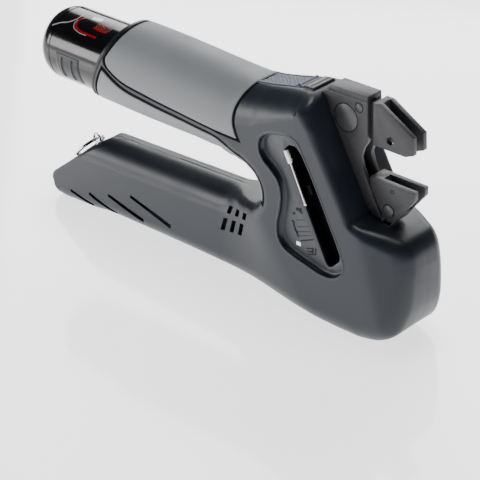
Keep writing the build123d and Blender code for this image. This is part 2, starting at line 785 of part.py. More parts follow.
def all_nodes():
    """Every node by name, with its solid or group of solids."""
    body = housing()
    soft = ahead_of_collar(grip(0) - grip(COVER), COLLAR_WIDTH)
    cover = soft & cover_zone()
    strip = soft & underside_zone()
    liner = rod_y(GAP_CENTRE, (-15, 15), GAP_R + COVER) - rod_y(GAP_CENTRE, (-16, 16), GAP_R)
    liner = liner & block((31, 60), (-15, 15), (59.6, 82.8))
    nodes = {
        "housing_near": near(body),
        "housing_far": far(body),
        "grip_cover_near": near(cover),
        "grip_cover_far": far(cover),
        "grip_underside": strip,
        "gap_liner": liner,
        "rear_collar": rear_collar(),
        "head_plate_near": head_plate(-1),
        "head_plate_far": head_plate(1),
        "head_core": head_core(),
        "upper_jaw": upper_jaw(),
        "lower_jaw": lower_jaw(),
        "ram_bar": ram_bar(),
        "ram_roller": ram_roller(),
        "roller_pin": roller_pin(),
        "ram_guide": ram_guide(),
        "main_bolt": main_bolt(),
        "lock_pin": lock_pin(),
        "jaw_pin": jaw_pin(),
        "motor_can": motor_can(),
        "rotor": rotor(),
        "ring_gear": ring_gear(),
        "planet_carrier": planet_carrier(),
        "gearbox_case": gearbox_case(),
        "lead_screw": lead_screw(),
        "screw_bearing": screw_bearing(),
        "wedge_carriage": wedge_carriage(),
        "carriage_rail": carriage_rail(),
        "circuit_board": circuit_board(),
        "board_chips": board_chips(),
        "switch_module": switch_module(),
        "thumb_button": thumb_button(),
        "button_spring": button_spring(),
        "terminal_block": terminal_block(),
        "terminal_blades": terminal_blades(),
        "battery_case": battery_case(),
        "battery_end_cap": battery_end_cap(),
        "battery_cells": battery_cells(),
        "battery_latch_near": battery_latch(-1),
        "battery_latch_far": battery_latch(1),
        "battery_trim": battery_trim(),
        "bay_liner": bay_liner(),
        "side_panel": side_panel(),
        "key_clip": key_clip(),
        "service_key": service_key(),
        "setting_scale": setting_scale(),
        "lamp_lens": lamp_lens(),
        "foot_pad": foot_pad(),
        "ring_eye": ring_eye(),
        "key_ring": key_ring(),
        "housing_screws": housing_screws(),
        "vent_mesh": vent_mesh(),
    }
    for index in range(PLANETS):
        nodes[f"planet_gear_{index + 1}"] = planet_gear(index)
    return nodes


if __name__ == "__main__":
    os.makedirs("parts", exist_ok=True)
    for name, solid in all_nodes().items():
        write(name, solid)
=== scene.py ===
"""Looks of a cordless crimping tool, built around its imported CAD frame.

Shapes are given in millimetres in the row frame (+X to the head, +Z up) and are made in metres.
The near side is -Y. The housing is a skin over its side view: two side curves give its outline,
and a half-width that depends on the place in that view gives its depth.
"""

import logging
import math
from collections.abc import Sequence
from dataclasses import dataclass
from enum import Enum

import bmesh
import bpy
import numpy as np
from mathutils import Matrix, Vector

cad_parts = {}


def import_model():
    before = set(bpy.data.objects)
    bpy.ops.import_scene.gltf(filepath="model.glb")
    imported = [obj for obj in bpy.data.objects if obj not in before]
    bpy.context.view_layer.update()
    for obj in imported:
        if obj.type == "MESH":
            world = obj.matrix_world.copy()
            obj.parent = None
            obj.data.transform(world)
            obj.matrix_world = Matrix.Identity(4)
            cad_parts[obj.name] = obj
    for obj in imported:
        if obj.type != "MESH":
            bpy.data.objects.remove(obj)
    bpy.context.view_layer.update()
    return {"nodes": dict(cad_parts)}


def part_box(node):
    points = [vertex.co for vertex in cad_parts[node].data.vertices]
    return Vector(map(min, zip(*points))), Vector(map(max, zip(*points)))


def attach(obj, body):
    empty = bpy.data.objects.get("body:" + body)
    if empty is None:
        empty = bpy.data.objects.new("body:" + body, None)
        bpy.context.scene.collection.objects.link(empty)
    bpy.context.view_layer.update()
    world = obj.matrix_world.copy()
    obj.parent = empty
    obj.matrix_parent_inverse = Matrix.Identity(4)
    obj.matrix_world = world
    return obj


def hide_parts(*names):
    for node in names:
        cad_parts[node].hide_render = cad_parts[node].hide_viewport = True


MM = 0.001
MERGE = 1e-6  # points of a new mesh closer than this many metres become one
EFFECT_SPAN = (0.35, 0.65)  # noise values that stand for the lowest and highest roughness
log = logging.getLogger("crimping_tool")


class Side(Enum):
    """The two sides of the tool."""

    NEAR = -1
    FAR = 1


# ---------------------------------------------------------------------------
# numbers on arrays
# ---------------------------------------------------------------------------
def smooth(value: np.ndarray, low: float, high: float | np.ndarray) -> np.ndarray:
    """Smoothstep of value from 0 at low to 1 at high: t squared times (3 - 2t)."""
    t = np.clip((value - low) / (high - low), 0.0, 1.0)
    return t * t * (3.0 - 2.0 * t)


def unit(vectors: np.ndarray) -> np.ndarray:
    """Vectors divided by their lengths."""
    length = np.linalg.norm(vectors, axis=-1, keepdims=True)
    return vectors / np.maximum(length, 1e-9)


def spread(count: int, ease: float = 0.0) -> np.ndarray:
    """Values from 0 to 1, crowded towards both ends as ease goes from 0 to 1.

    Args:
        count: How many values.
        ease: Share of the cosine spacing in the mix.

    Returns:
        Array of count values.
    """
    even = np.linspace(0.0, 1.0, count)
    crowded = 0.5 - 0.5 * np.cos(np.pi * even)
    return (1.0 - ease) * even + ease * crowded


class SideCurve:
    """Smooth curve through knots whose first two columns are x and z.

    It is a cubic Hermite curve on chord length, and its slope at a knot is the weighted mean
    of the two chords there. Further columns ride along with the same formula.
    """

    def __init__(self, knots: list[tuple[float, ...]]) -> None:
        """Work out chord lengths and slopes.

        Args:
            knots: Rows of x, z and any further columns.
        """
        self.knots = np.array(knots, float)
        steps = np.linalg.norm(np.diff(self.knots[:, :2], axis=0), axis=1)
        self.at_knot = np.concatenate([[0.0], np.cumsum(steps)])
        self.slopes = np.gradient(self.knots, self.at_knot, axis=0)
        self.slopes[:, 2:] = 0.0

    @property
    def length(self) -> float:
        """Length of the curve along its chords."""
        return float(self.at_knot[-1])

    def at(self, along: np.ndarray) -> np.ndarray:
        """Values of all columns at distances along the curve.

        Args:
            along: Distances from the first knot.

        Returns:
            A row for each distance.
        """
        along = np.clip(np.asarray(along, float), 0.0, self.length)
        index = np.clip(np.searchsorted(self.at_knot, along, "right") - 1, 0, len(self.knots) - 2)
        start, end = self.at_knot[index], self.at_knot[index + 1]
        span = (end - start)[..., None]
        t = ((along - start) / (end - start))[..., None]
        a, b = self.knots[index], self.knots[index + 1]
        slope_a, slope_b = self.slopes[index] * span, self.slopes[index + 1] * span
        return (
            a * (2 * t**3 - 3 * t**2 + 1)
            + slope_a * (t**3 - 2 * t**2 + t)
            + b * (3 * t**2 - 2 * t**3)
            + slope_b * (t**3 - t**2)
        )

    def table(self, count: int) -> np.ndarray:
        """The curve as count rows, evenly spaced."""
        return self.at(np.linspace(0.0, self.length, count))


def nearest(table: np.ndarray, points: np.ndarray) -> tuple[np.ndarray, np.ndarray]:
    """Distance from points to a polyline, and the polyline's other columns there.

    Each point is projected on every piece of the polyline, the projection is held within the
    piece, and the nearest one counts.

    Args:
        table: Rows of x, z and further columns.
        points: Array of x and z pairs.

    Returns:
        Distances, and the further columns at the nearest places.
    """
    start, step = table[:-1, :2], np.diff(table[:, :2], axis=0)
    size = np.maximum((step**2).sum(axis=1), 1e-12)
    distances, extras = [], []
    for part in np.array_split(points, max(1, len(points) // 4000)):
        offset = part[:, None, :] - start[None, :, :]
        t = np.clip((offset * step).sum(axis=2) / size, 0.0, 1.0)
        gap = np.linalg.norm(offset - t[..., None] * step, axis=2)
        best = gap.argmin(axis=1)
        rows = np.arange(len(part))
        share = t[rows, best][:, None]
        distances.append(gap[rows, best])
        extras.append(table[best, 2:] * (1 - share) + table[best + 1, 2:] * share)
    return np.concatenate(distances), np.concatenate(extras)


def rounding(distance: np.ndarray, reach: np.ndarray, fullness: np.ndarray) -> np.ndarray:
    """Edge rounding: 1 at the edge and 0 beyond reach, on a superellipse of that fullness."""
    t = np.clip(distance / np.maximum(reach, 1e-3), 0.0, 1.0)
    return 1.0 - (1.0 - (1.0 - t) ** fullness) ** (1.0 / fullness)


# ---------------------------------------------------------------------------
# meshes
# ---------------------------------------------------------------------------
def make_object(name: str, points: np.ndarray, faces: list | np.ndarray,
                sharp_deg: float = 35.0) -> bpy.types.Object:
    """Mesh object from points in millimetres and faces, merged, turned outwards and smooth.

    Args:
        name: Name of the piece.
        points: Array of x, y and z in millimetres.
        faces: Faces as tuples or as an array of rows of point numbers.
        sharp_deg: Angle past which an edge stays sharp.

    Returns:
        The new object, at the origin.
    """
    mesh = bpy.data.meshes.new(name)
    rows = faces.tolist() if isinstance(faces, np.ndarray) else faces
    mesh.from_pydata((points * MM).tolist(), [], rows)
    clean(mesh)
    return link(name, mesh, sharp_deg)


def clean(mesh: bpy.types.Mesh) -> None:
    """Merge doubled points, drop collapsed faces and turn faces outwards.

    Args:
        mesh: The mesh, changed in place.
    """
    work = bmesh.new()
    work.from_mesh(mesh)
    bmesh.ops.remove_doubles(work, verts=work.verts, dist=MERGE)
    bmesh.ops.dissolve_degenerate(work, edges=work.edges, dist=MERGE / 10)
    bmesh.ops.recalc_face_normals(work, faces=work.faces)
    work.to_mesh(mesh)
    work.free()


def shade(mesh: bpy.types.Mesh, sharp_deg: float) -> None:
    """Smooth shading with sharp edges past an angle."""
    mesh.polygons.foreach_set("use_smooth", np.ones(len(mesh.polygons), bool))
    mesh.set_sharp_from_angle(angle=math.radians(sharp_deg))


def link(name: str, mesh: bpy.types.Mesh, sharp_deg: float) -> bpy.types.Object:
    """Put a mesh in the scene with smooth shading and sharp edges past an angle.

    Args:
        name: Name of the piece.
        mesh: Its mesh.
        sharp_deg: Angle past which an edge stays sharp.

    Returns:
        The new object.
    """
    shade(mesh, sharp_deg)
    piece = bpy.data.objects.new(name, mesh)
    bpy.context.scene.collection.objects.link(piece)
    return piece


def grid_faces(rows: int, columns: int, wrap_rows: bool = False,
               wrap_columns: bool = False) -> np.ndarray:
    """Quads of a grid of points numbered row by row.

    Args:
        rows: Number of rows.
        columns: Number of columns.
        wrap_rows: Join the last row to the first.
        wrap_columns: Join the last column to the first.

    Returns:
        Array with four point numbers in each row.
    """
    i = np.arange(rows if wrap_rows else rows - 1)
    j = np.arange(columns if wrap_columns else columns - 1)
    i, j = (a.ravel() for a in np.meshgrid(i, j, indexing="ij"))
    down, right = (i + 1) % rows, (j + 1) % columns
    return np.stack([i * columns + j, down * columns + j,
                     down * columns + right, i * columns + right], 1)


def slab(name: str, top: np.ndarray, foot: np.ndarray, sharp_deg: float = 40.0,
         side: Side = Side.NEAR) -> bpy.types.Object:
    """Closed solid between two grids of points with the same rows and columns.

    Every row of points runs out along the top and back along the foot, and the first and the
    last row are closed by strips of quads.

    Args:
        name: Name of the piece.
        top: Grid of x, y and z.
        foot: Grid of x, y and z.
        sharp_deg: Angle past which an edge stays sharp.
        side: Side that the piece is made for.

    Returns:
        The new object.
    """
    rows, columns = top.shape[:2]
    points = np.concatenate([top, foot[:, ::-1]], axis=1)
    j = np.arange(columns - 1)
    ends = [np.stack([first + j, first + j + 1,
                      first + 2 * columns - 2 - j, first + 2 * columns - 1 - j], 1)
            for first in (0, (rows - 1) * 2 * columns)]
    faces = np.concatenate([grid_faces(rows, 2 * columns, wrap_columns=True), *ends])
    return make_object(name, mirrored(points.reshape(-1, 3), side), faces, sharp_deg)


def tube_object(name: str, loops: np.ndarray, sharp_deg: float = 35.0) -> bpy.types.Object:
    """Closed loops of points joined in order, with both ends closed by a flat face.

    Args:
        name: Name of the piece.
        loops: Array of loops, points in each loop, and x, y, z.
        sharp_deg: Angle past which an edge stays sharp.

    Returns:
        The new object.
    """
    count, size = loops.shape[:2]
    faces = grid_faces(count, size, wrap_columns=True).tolist()
    faces.append(list(range(size)))
    faces.append(list(range((count - 1) * size, count * size))[::-1])
    return make_object(name, loops.reshape(-1, 3), faces, sharp_deg)


def ring_object(name: str, loops: np.ndarray, sharp_deg: float = 35.0) -> bpy.types.Object:
    """Closed loops of points joined in order, the last one to the first."""
    faces = grid_faces(loops.shape[0], loops.shape[1], wrap_rows=True, wrap_columns=True)
    return make_object(name, loops.reshape(-1, 3), faces, sharp_deg)


def turned(name: str, profile: list[tuple[float, float]],
           centre: tuple[float, float, float], count: int = 64) -> bpy.types.Object:
    """Turned piece: a profile of (place along Y, radius) swept round an axis along Y.

    Args:
        name: Name of the piece.
        profile: Points from one end to the other, each with a radius above 0.
        centre: A point of the axis.
        count: Points around.

    Returns:
        The new object.
    """
    line = np.array(profile, float)
    turn = np.linspace(0, 2 * np.pi, count, endpoint=False)
    along = np.repeat(line[:, :1], count, axis=1)
    loops = np.stack((line[:, 1:2] * np.sin(turn), along, line[:, 1:2] * np.cos(turn)), 2)
    return tube_object(name, loops + np.array(centre))


def prism(name: str, outline: np.ndarray, low: float, high: float) -> bpy.types.Object:
    """Outline of the side view made solid between two places on Y.

    Args:
        name: Name of the piece.
        outline: Array of x and z pairs.
        low: Lowest y.
        high: Highest y.

    Returns:
        The new object.
    """
    loops = np.zeros((2, len(outline), 3))
    loops[:, :, [0, 2]] = outline
    loops[0, :, 1], loops[1, :, 1] = low, high
    return tube_object(name, loops, 30.0)


def cuboid(name: str, low: tuple[float, ...], high: tuple[float, ...]) -> bpy.types.Object:
    """Box between two corners."""
    x, z = (low[0], high[0], high[0], low[0]), (low[2], low[2], high[2], high[2])
    return prism(name, np.stack([x, z], 1), low[1], high[1])


def apply_modifiers(piece: bpy.types.Object, sharp_deg: float = 35.0) -> None:
    """Write a piece's modifiers into its mesh.

    Args:
        piece: The piece.
        sharp_deg: Angle past which an edge stays sharp.
    """
    graph = bpy.context.evaluated_depsgraph_get()
    mesh = bpy.data.meshes.new_from_object(piece.evaluated_get(graph))
    piece.modifiers.clear()
    old = piece.data
    piece.data = mesh
    bpy.data.meshes.remove(old)
    shade(mesh, sharp_deg)


def carve(piece: bpy.types.Object, tools: list[bpy.types.Object],
          sharp_deg: float = 35.0) -> None:
    """Cut tools out of a piece, all in one go, and remove them.

    Args:
        piece: The solid that is cut.
        tools: Solids that don't touch each other.
        sharp_deg: Angle past which an edge stays sharp.
    """
    with_tools = bpy.data.collections.new("cutters")
    bpy.context.scene.collection.children.link(with_tools)
    for tool in tools:
        with_tools.objects.link(tool)
    cut = piece.modifiers.new("cut", "BOOLEAN")
    cut.operation = "DIFFERENCE"
    cut.operand_type = "COLLECTION"
    cut.collection = with_tools
    cut.solver = "EXACT"
    cut.use_self = True
    apply_modifiers(piece, sharp_deg)
    for tool in tools:
        bpy.data.objects.remove(tool)
    bpy.data.collections.remove(with_tools)


def soften(piece: bpy.types.Object, width: float, angle_deg: float = 30.0) -> None:
    """Round the sharp edges of a piece.

    Args:
        piece: The piece.
        width: Width of the rounding in millimetres.
        angle_deg: Angle past which an edge is rounded.
    """
    bevel = piece.modifiers.new("bevel", "BEVEL")
    bevel.width = width * MM
    bevel.segments = 2
    bevel.limit_method = "ANGLE"
    bevel.angle_limit = math.radians(angle_deg)
    bevel.use_clamp_overlap = True
    apply_modifiers(piece, angle_deg + 15.0)


def mirrored(points: np.ndarray, side: Side) -> np.ndarray:
    """Points drawn on the near side, moved to the wanted side."""
    return points * np.array([1.0, -float(side.value), 1.0])


def grid_normals(grid: np.ndarray) -> np.ndarray:
    """Unit normals of a grid of points: the cross product of its two directions."""
    return unit(np.cross(np.gradient(grid, axis=0), np.gradient(grid, axis=1)))


# ---------------------------------------------------------------------------
# shader node groups
# ---------------------------------------------------------------------------
@dataclass(frozen=True)
class Socket:
    """One socket of a node group."""

    name: str
    kind: str
    start: float | tuple | None = None


class NodeGroup:
    """A shader node group with named inputs and outputs, built once."""

    def __init__(self, name: str, inputs: list[Socket], outputs: list[Socket]) -> None:
        """Make the group and its sockets.

        Args:
            name: Name of the group.
            inputs: Its inputs in order.
            outputs: Its outputs in order.
        """
        self.tree = bpy.data.node_groups.new(name, "ShaderNodeTree")
        for socket, way in [(s, "INPUT") for s in inputs] + [(s, "OUTPUT") for s in outputs]:
            made = self.tree.interface.new_socket(socket.name, in_out=way, socket_type=socket.kind)
            if socket.start is not None:
                made.default_value = socket.start
        self.entry = self.tree.nodes.new("NodeGroupInput")
        self.exit = self.tree.nodes.new("NodeGroupOutput")

    def node(self, kind: str, **settings: object) -> bpy.types.Node:
        """A new node of that kind.

        Args:
            kind: Blender's name of the node type.
            settings: Properties of the node.

        Returns:
            The node.
        """
        made = self.tree.nodes.new(kind)
        for key, value in settings.items():
            setattr(made, key, value)
        return made

    def join(self, source: bpy.types.NodeSocket, target: bpy.types.NodeSocket) -> None:
        """Link two sockets."""
        self.tree.links.new(source, target)

    def math(self, way: str, a: object, b: object) -> bpy.types.NodeSocket:
        """Math node on two sockets or numbers.

        Args:
            way: What it does, such as "ADD".
            a: First socket or number.
            b: Second socket or number.

        Returns:
            Its output.
        """
        made = self.node("ShaderNodeMath", operation=way)
        for slot, value in zip(made.inputs, (a, b)):
            if isinstance(value, bpy.types.NodeSocket):
                self.join(value, slot)
            else:
                slot.default_value = value
        return made.outputs[0]


class Effects:
    """The shader effects that several finishes share."""

    def __init__(self) -> None:
        """Build every group once."""
        self.moulded = self.build_moulded()
        self.brushed = self.build_brushed()
        self.wear = self.build_wear()

    @staticmethod
    def coordinates(group: NodeGroup) -> bpy.types.NodeSocket:
        """Object coordinates, which stay with the piece."""
        return group.node("ShaderNodeTexCoord").outputs["Object"]

    def build_moulded(self) -> NodeGroup:
        """Spark-eroded moulding texture: fine noise for the height, soft clouds for the sheen.

        Returns:
            The group, with the outputs Height and Cloud.
        """
        group = NodeGroup(
            "moulded_texture",
            [Socket("Grain Scale", "NodeSocketFloat", 1500.0),
             Socket("Cloud Scale", "NodeSocketFloat", 30.0)],
            [Socket("Height", "NodeSocketFloat"), Socket("Cloud", "NodeSocketFloat")],
        )
        place = self.coordinates(group)
        grain = group.node("ShaderNodeTexNoise")
        grain.inputs["Detail"].default_value = 3.0
        grain.inputs["Roughness"].default_value = 0.65
        group.join(place, grain.inputs["Vector"])
        group.join(group.entry.outputs["Grain Scale"], grain.inputs["Scale"])
        cloud = group.node("ShaderNodeTexNoise")
        cloud.inputs["Detail"].default_value = 4.0
        group.join(place, cloud.inputs["Vector"])
        group.join(group.entry.outputs["Cloud Scale"], cloud.inputs["Scale"])
        group.join(grain.outputs["Fac"], group.exit.inputs["Height"])
        group.join(cloud.outputs["Fac"], group.exit.inputs["Cloud"])
        return group

    def build_brushed(self) -> NodeGroup:
        """Grinding lines: noise stretched along one direction.

        Returns:
            The group, with the outputs Line and Cloud.
        """
        group = NodeGroup(
            "grinding_lines",
            [Socket("Stretch", "NodeSocketVector", (60.0, 2000.0, 2000.0))],
            [Socket("Line", "NodeSocketFloat"), Socket("Cloud", "NodeSocketFloat")],
        )
        place = self.coordinates(group)
        stretch = group.node("ShaderNodeVectorMath", operation="MULTIPLY")
        group.join(place, stretch.inputs[0])
        group.join(group.entry.outputs["Stretch"], stretch.inputs[1])
        line = group.node("ShaderNodeTexNoise")
        line.inputs["Scale"].default_value = 1.0
        line.inputs["Detail"].default_value = 4.0
        group.join(stretch.outputs["Vector"], line.inputs["Vector"])
        cloud = group.node("ShaderNodeTexNoise")
        cloud.inputs["Scale"].default_value = 90.0
        cloud.inputs["Detail"].default_value = 5.0
        group.join(place, cloud.inputs["Vector"])
        group.join(line.outputs["Fac"], group.exit.inputs["Line"])
        group.join(cloud.outputs["Fac"], group.exit.inputs["Cloud"])
        return group

    def build_wear(self) -> NodeGroup:
        """Handling wear: a mask of broken specks where a rough noise is high.

        Returns:
            The group, with the output Mask.
        """
        group = NodeGroup(
            "handling_wear",
            [Socket("Scale", "NodeSocketFloat", 120.0),
             Socket("Amount", "NodeSocketFloat", 0.2)],
            [Socket("Mask", "NodeSocketFloat")],
        )
        place = self.coordinates(group)
        coarse = group.node("ShaderNodeTexNoise")
        coarse.inputs["Detail"].default_value = 8.0
        coarse.inputs["Roughness"].default_value = 0.7
        group.join(place, coarse.inputs["Vector"])
        group.join(group.entry.outputs["Scale"], coarse.inputs["Scale"])
        share = group.math("MULTIPLY", group.entry.outputs["Amount"], 0.4)
        limit = group.math("SUBTRACT", 0.78, share)
        above = group.math("SUBTRACT", coarse.outputs["Fac"], limit)
        sharp = group.math("MULTIPLY", above, 14.0)
        clamp = group.node("ShaderNodeClamp")
        group.join(sharp, clamp.inputs["Value"])
        group.join(clamp.outputs["Result"], group.exit.inputs["Mask"])
        return group


# ---------------------------------------------------------------------------
# finishes
# ---------------------------------------------------------------------------
@dataclass(frozen=True)
class Finish:
    """A finish of the tool: its base, what varies over it, and its fine relief.

    The colour and roughness vary between a low and a high value by the soft clouds of the
    effect, and the relief comes from its fine pattern.
    """

    name: str
    colour: tuple[float, float, float]
    vary: float = 0.08
    rough_low: float = 0.4
    rough_high: float = 0.5
    metallic: float = 0.0
    grain: float = 1500.0
    clouds: float = 30.0
    relief: float = 0.1
    depth: float = 0.00005
    coat: float = 0.0
    coat_rough: float = 0.1
    specular: float = 0.5
    brushed: tuple[float, float, float] | None = None
    wear: float = 0.0
    wear_colour: tuple[float, float, float] = (0.3, 0.3, 0.3)
    glow: float = 0.0

    def build(self, effects: Effects) -> bpy.types.Material:
        """The finish as a node material.

        Args:
            effects: The shared effects.

        Returns:
            The material.
        """
        material = bpy.data.materials.new(self.name)
        material.use_nodes = True
        nodes, links = material.node_tree.nodes, material.node_tree.links
        shader = nodes["Principled BSDF"]
        shader.inputs["Metallic"].default_value = self.metallic
        shader.inputs["Specular IOR Level"].default_value = self.specular
        shader.inputs["Coat Weight"].default_value = self.coat
        shader.inputs["Coat Roughness"].default_value = self.coat_rough
        effect = nodes.new("ShaderNodeGroup")
        effect.node_tree = (effects.brushed if self.brushed else effects.moulded).tree
        if self.brushed:
            effect.inputs["Stretch"].default_value = self.brushed
            pattern = effect.outputs["Line"]
        else:
            effect.inputs["Grain Scale"].default_value = self.grain
            effect.inputs["Cloud Scale"].default_value = self.clouds
            pattern = effect.outputs["Height"]
        mix = nodes.new("ShaderNodeMix")
        mix.data_type = "RGBA"
        darker = [c * (1 - self.vary) for c in self.colour]
        lighter = [min(1.0, c * (1 + self.vary)) for c in self.colour]
        mix.inputs["A"].default_value = (*darker, 1.0)
        mix.inputs["B"].default_value = (*lighter, 1.0)
        links.new(effect.outputs["Cloud"], mix.inputs["Factor"])
        colour = mix.outputs["Result"]
        if self.wear > 0:
            colour = self.add_wear(nodes, links, effects, colour)
        links.new(colour, shader.inputs["Base Color"])
        if self.glow > 0:
            links.new(colour, shader.inputs["Emission Color"])
            shader.inputs["Emission Strength"].default_value = self.glow
        span = nodes.new("ShaderNodeMapRange")
        span.inputs["From Min"].default_value = EFFECT_SPAN[0]
        span.inputs["From Max"].default_value = EFFECT_SPAN[1]
        span.inputs["To Min"].default_value = self.rough_low
        span.inputs["To Max"].default_value = self.rough_high
        links.new(pattern if self.brushed else effect.outputs["Cloud"], span.inputs["Value"])
        links.new(span.outputs["Result"], shader.inputs["Roughness"])
        bump = nodes.new("ShaderNodeBump")
        bump.inputs["Strength"].default_value = self.relief
        bump.inputs["Distance"].default_value = self.depth
        links.new(pattern, bump.inputs["Height"])
        links.new(bump.outputs["Normal"], shader.inputs["Normal"])
        return material

    def add_wear(self, nodes: bpy.types.Nodes, links: bpy.types.NodeLinks, effects: Effects,
                 colour: bpy.types.NodeSocket) -> bpy.types.NodeSocket:
        """Lay worn specks over the colour.

        Args:
            nodes: The material's nodes.
            links: The material's links.
            effects: The shared effects.
            colour: Socket with the colour so far.

        Returns:
            Socket with the worn colour.
        """
        wear = nodes.new("ShaderNodeGroup")
        wear.node_tree = effects.wear.tree
        wear.inputs["Amount"].default_value = self.wear
        over = nodes.new("ShaderNodeMix")
        over.data_type = "RGBA"
        over.inputs["B"].default_value = (*self.wear_colour, 1.0)
        links.new(wear.outputs["Mask"], over.inputs["Factor"])
        links.new(colour, over.inputs["A"])
        return over.outputs["Result"]


class Paint(Enum):
    """Every finish on the tool."""

    HOUSING = Finish("housing_charcoal", (0.011, 0.0145, 0.022), 0.10, 0.35, 0.42, grain=2600.0,
                     relief=0.22, depth=0.00004, specular=0.36)
    PANEL = Finish("panel_charcoal", (0.024, 0.028, 0.036), 0.08, 0.42, 0.50, grain=3200.0,
                   relief=0.22, depth=0.00004)
    GRIP = Finish("grip_grey_soft", (0.205, 0.215, 0.228), 0.05, 0.50, 0.60, grain=3600.0,
                  relief=0.25, depth=0.00005, specular=0.4)
    # dead black for seams and dark joints, and also painted shade: the slot trough is dead black to
    # stand in for the slot's shadow
    SEAM = Finish("seam_black_and_painted_shade", (0.002, 0.002, 0.003), 0.1, 0.75, 0.85, specular=0.08)
    RIM = Finish("rim_graphite", (0.009, 0.010, 0.013), 0.08, 0.32, 0.40, grain=2600.0,
                 specular=0.3)
    BATTERY = Finish("battery_gloss_black", (0.004, 0.004, 0.005), 0.1, 0.12, 0.18, grain=900.0,
                     relief=0.03, coat=0.1, coat_rough=0.08, specular=0.34)
    LATCH = Finish("latch_grey_black", (0.008, 0.009, 0.012), 0.1, 0.26, 0.34, specular=0.3)
    ACCENT_RED = Finish("accent_red", (0.30, 0.004, 0.006), 0.25, 0.15, 0.22, clouds=700.0,
                        coat=0.3)
    ACCENT_DARK_RED = Finish("accent_dark_red", (0.08, 0.003, 0.004), 0.3, 0.2, 0.3, clouds=900.0)
    ACCENT_SILVER = Finish("accent_silver", (0.45, 0.46, 0.48), 0.1, 0.22, 0.3, metallic=0.3)
    BUTTON = Finish("button_blue_grey", (0.026, 0.040, 0.080), 0.35, 0.38, 0.5, grain=1500.0,
                    clouds=1300.0, relief=0.55, depth=0.00012, specular=0.35)
    HEAD = Finish("head_black_steel", (0.056, 0.056, 0.061), 0.14, 0.40, 0.52, metallic=0.2,
                  brushed=(90.0, 1500.0, 1500.0), relief=0.05, wear=0.1, specular=0.28,
                  wear_colour=(0.12, 0.12, 0.12))
    BOLT = Finish("bolt_black_steel", (0.078, 0.078, 0.084), 0.1, 0.36, 0.46, metallic=0.3,
                  brushed=(900.0, 900.0, 900.0), relief=0.05)
    BRIGHT = Finish("bright_steel", (0.80, 0.80, 0.81), 0.05, 0.2, 0.32, metallic=0.9,
                    brushed=(300.0, 1500.0, 300.0), relief=0.04)
    CHROME = Finish("chrome", (0.62, 0.62, 0.64), 0.05, 0.08, 0.14, metallic=1.0, grain=500.0,
                    relief=0.02)
    STEEL = Finish("drive_steel", (0.42, 0.42, 0.43), 0.08, 0.25, 0.4, metallic=1.0,
                   brushed=(200.0, 1400.0, 1400.0), relief=0.05)
    BRONZE = Finish("bronze", (0.52, 0.34, 0.14), 0.1, 0.28, 0.4, metallic=1.0,
                    brushed=(900.0, 200.0, 900.0), relief=0.05)
    BLACK = Finish("inner_black", (0.006, 0.006, 0.007), 0.1, 0.4, 0.5)
    CELL = Finish("cell_wrap_green", (0.03, 0.22, 0.10), 0.08, 0.2, 0.3, coat=0.3)
    BOARD = Finish("board_green", (0.012, 0.085, 0.035), 0.15, 0.25, 0.35, grain=900.0)
    COPPER = Finish("contact_copper", (0.65, 0.33, 0.18), 0.1, 0.2, 0.32, metallic=1.0)
    PRINT = Finish("print_dark", (0.006, 0.006, 0.007), 0.05, 0.5, 0.6, specular=0.2)
    FAINT = Finish("print_faint", (0.011, 0.012, 0.014), 0.05, 0.5, 0.6, specular=0.3)
    LAMP = Finish("lamp_white", (0.95, 0.95, 0.95), 0.02, 0.3, 0.35, glow=0.6)
    RUBBER = Finish("foot_rubber", (0.008, 0.008, 0.008), 0.1, 0.7, 0.8, grain=1800.0,
                    relief=0.3)
    MESH = Finish("screen_black", (0.003, 0.003, 0.003), 0.1, 0.6, 0.7, specular=0.2)


class Workshop:
    """Dresses pieces: gives them a finish and a body to ride on."""

    def __init__(self) -> None:
        """Build all finishes."""
        effects = Effects()
        self.paints = {paint: paint.value.build(effects) for paint in Paint}

    def paint(self, piece: bpy.types.Object, paint: Paint) -> None:
        """Give a piece one finish."""
        piece.data.materials.clear()
        piece.data.materials.append(self.paints[paint])

    def dress(self, piece: bpy.types.Object, paint: Paint, body: str, slot: str,
              *replaced: str) -> bpy.types.Object:
        """Finish a new piece and tie it to the frame.

        Args:
            piece: The new piece.
            paint: Its finish.
            body: The CAD body that it rides on.
            slot: The record's material slot; not used.
            replaced: CAD nodes that it stands for.

        Returns:
            The piece.
        """
        self.paint(piece, paint)
        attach(piece, body)
        if replaced:
            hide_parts(*replaced)
        log.info("%s rides on %s, %d faces", piece.name, body, len(piece.data.polygons))
        return piece


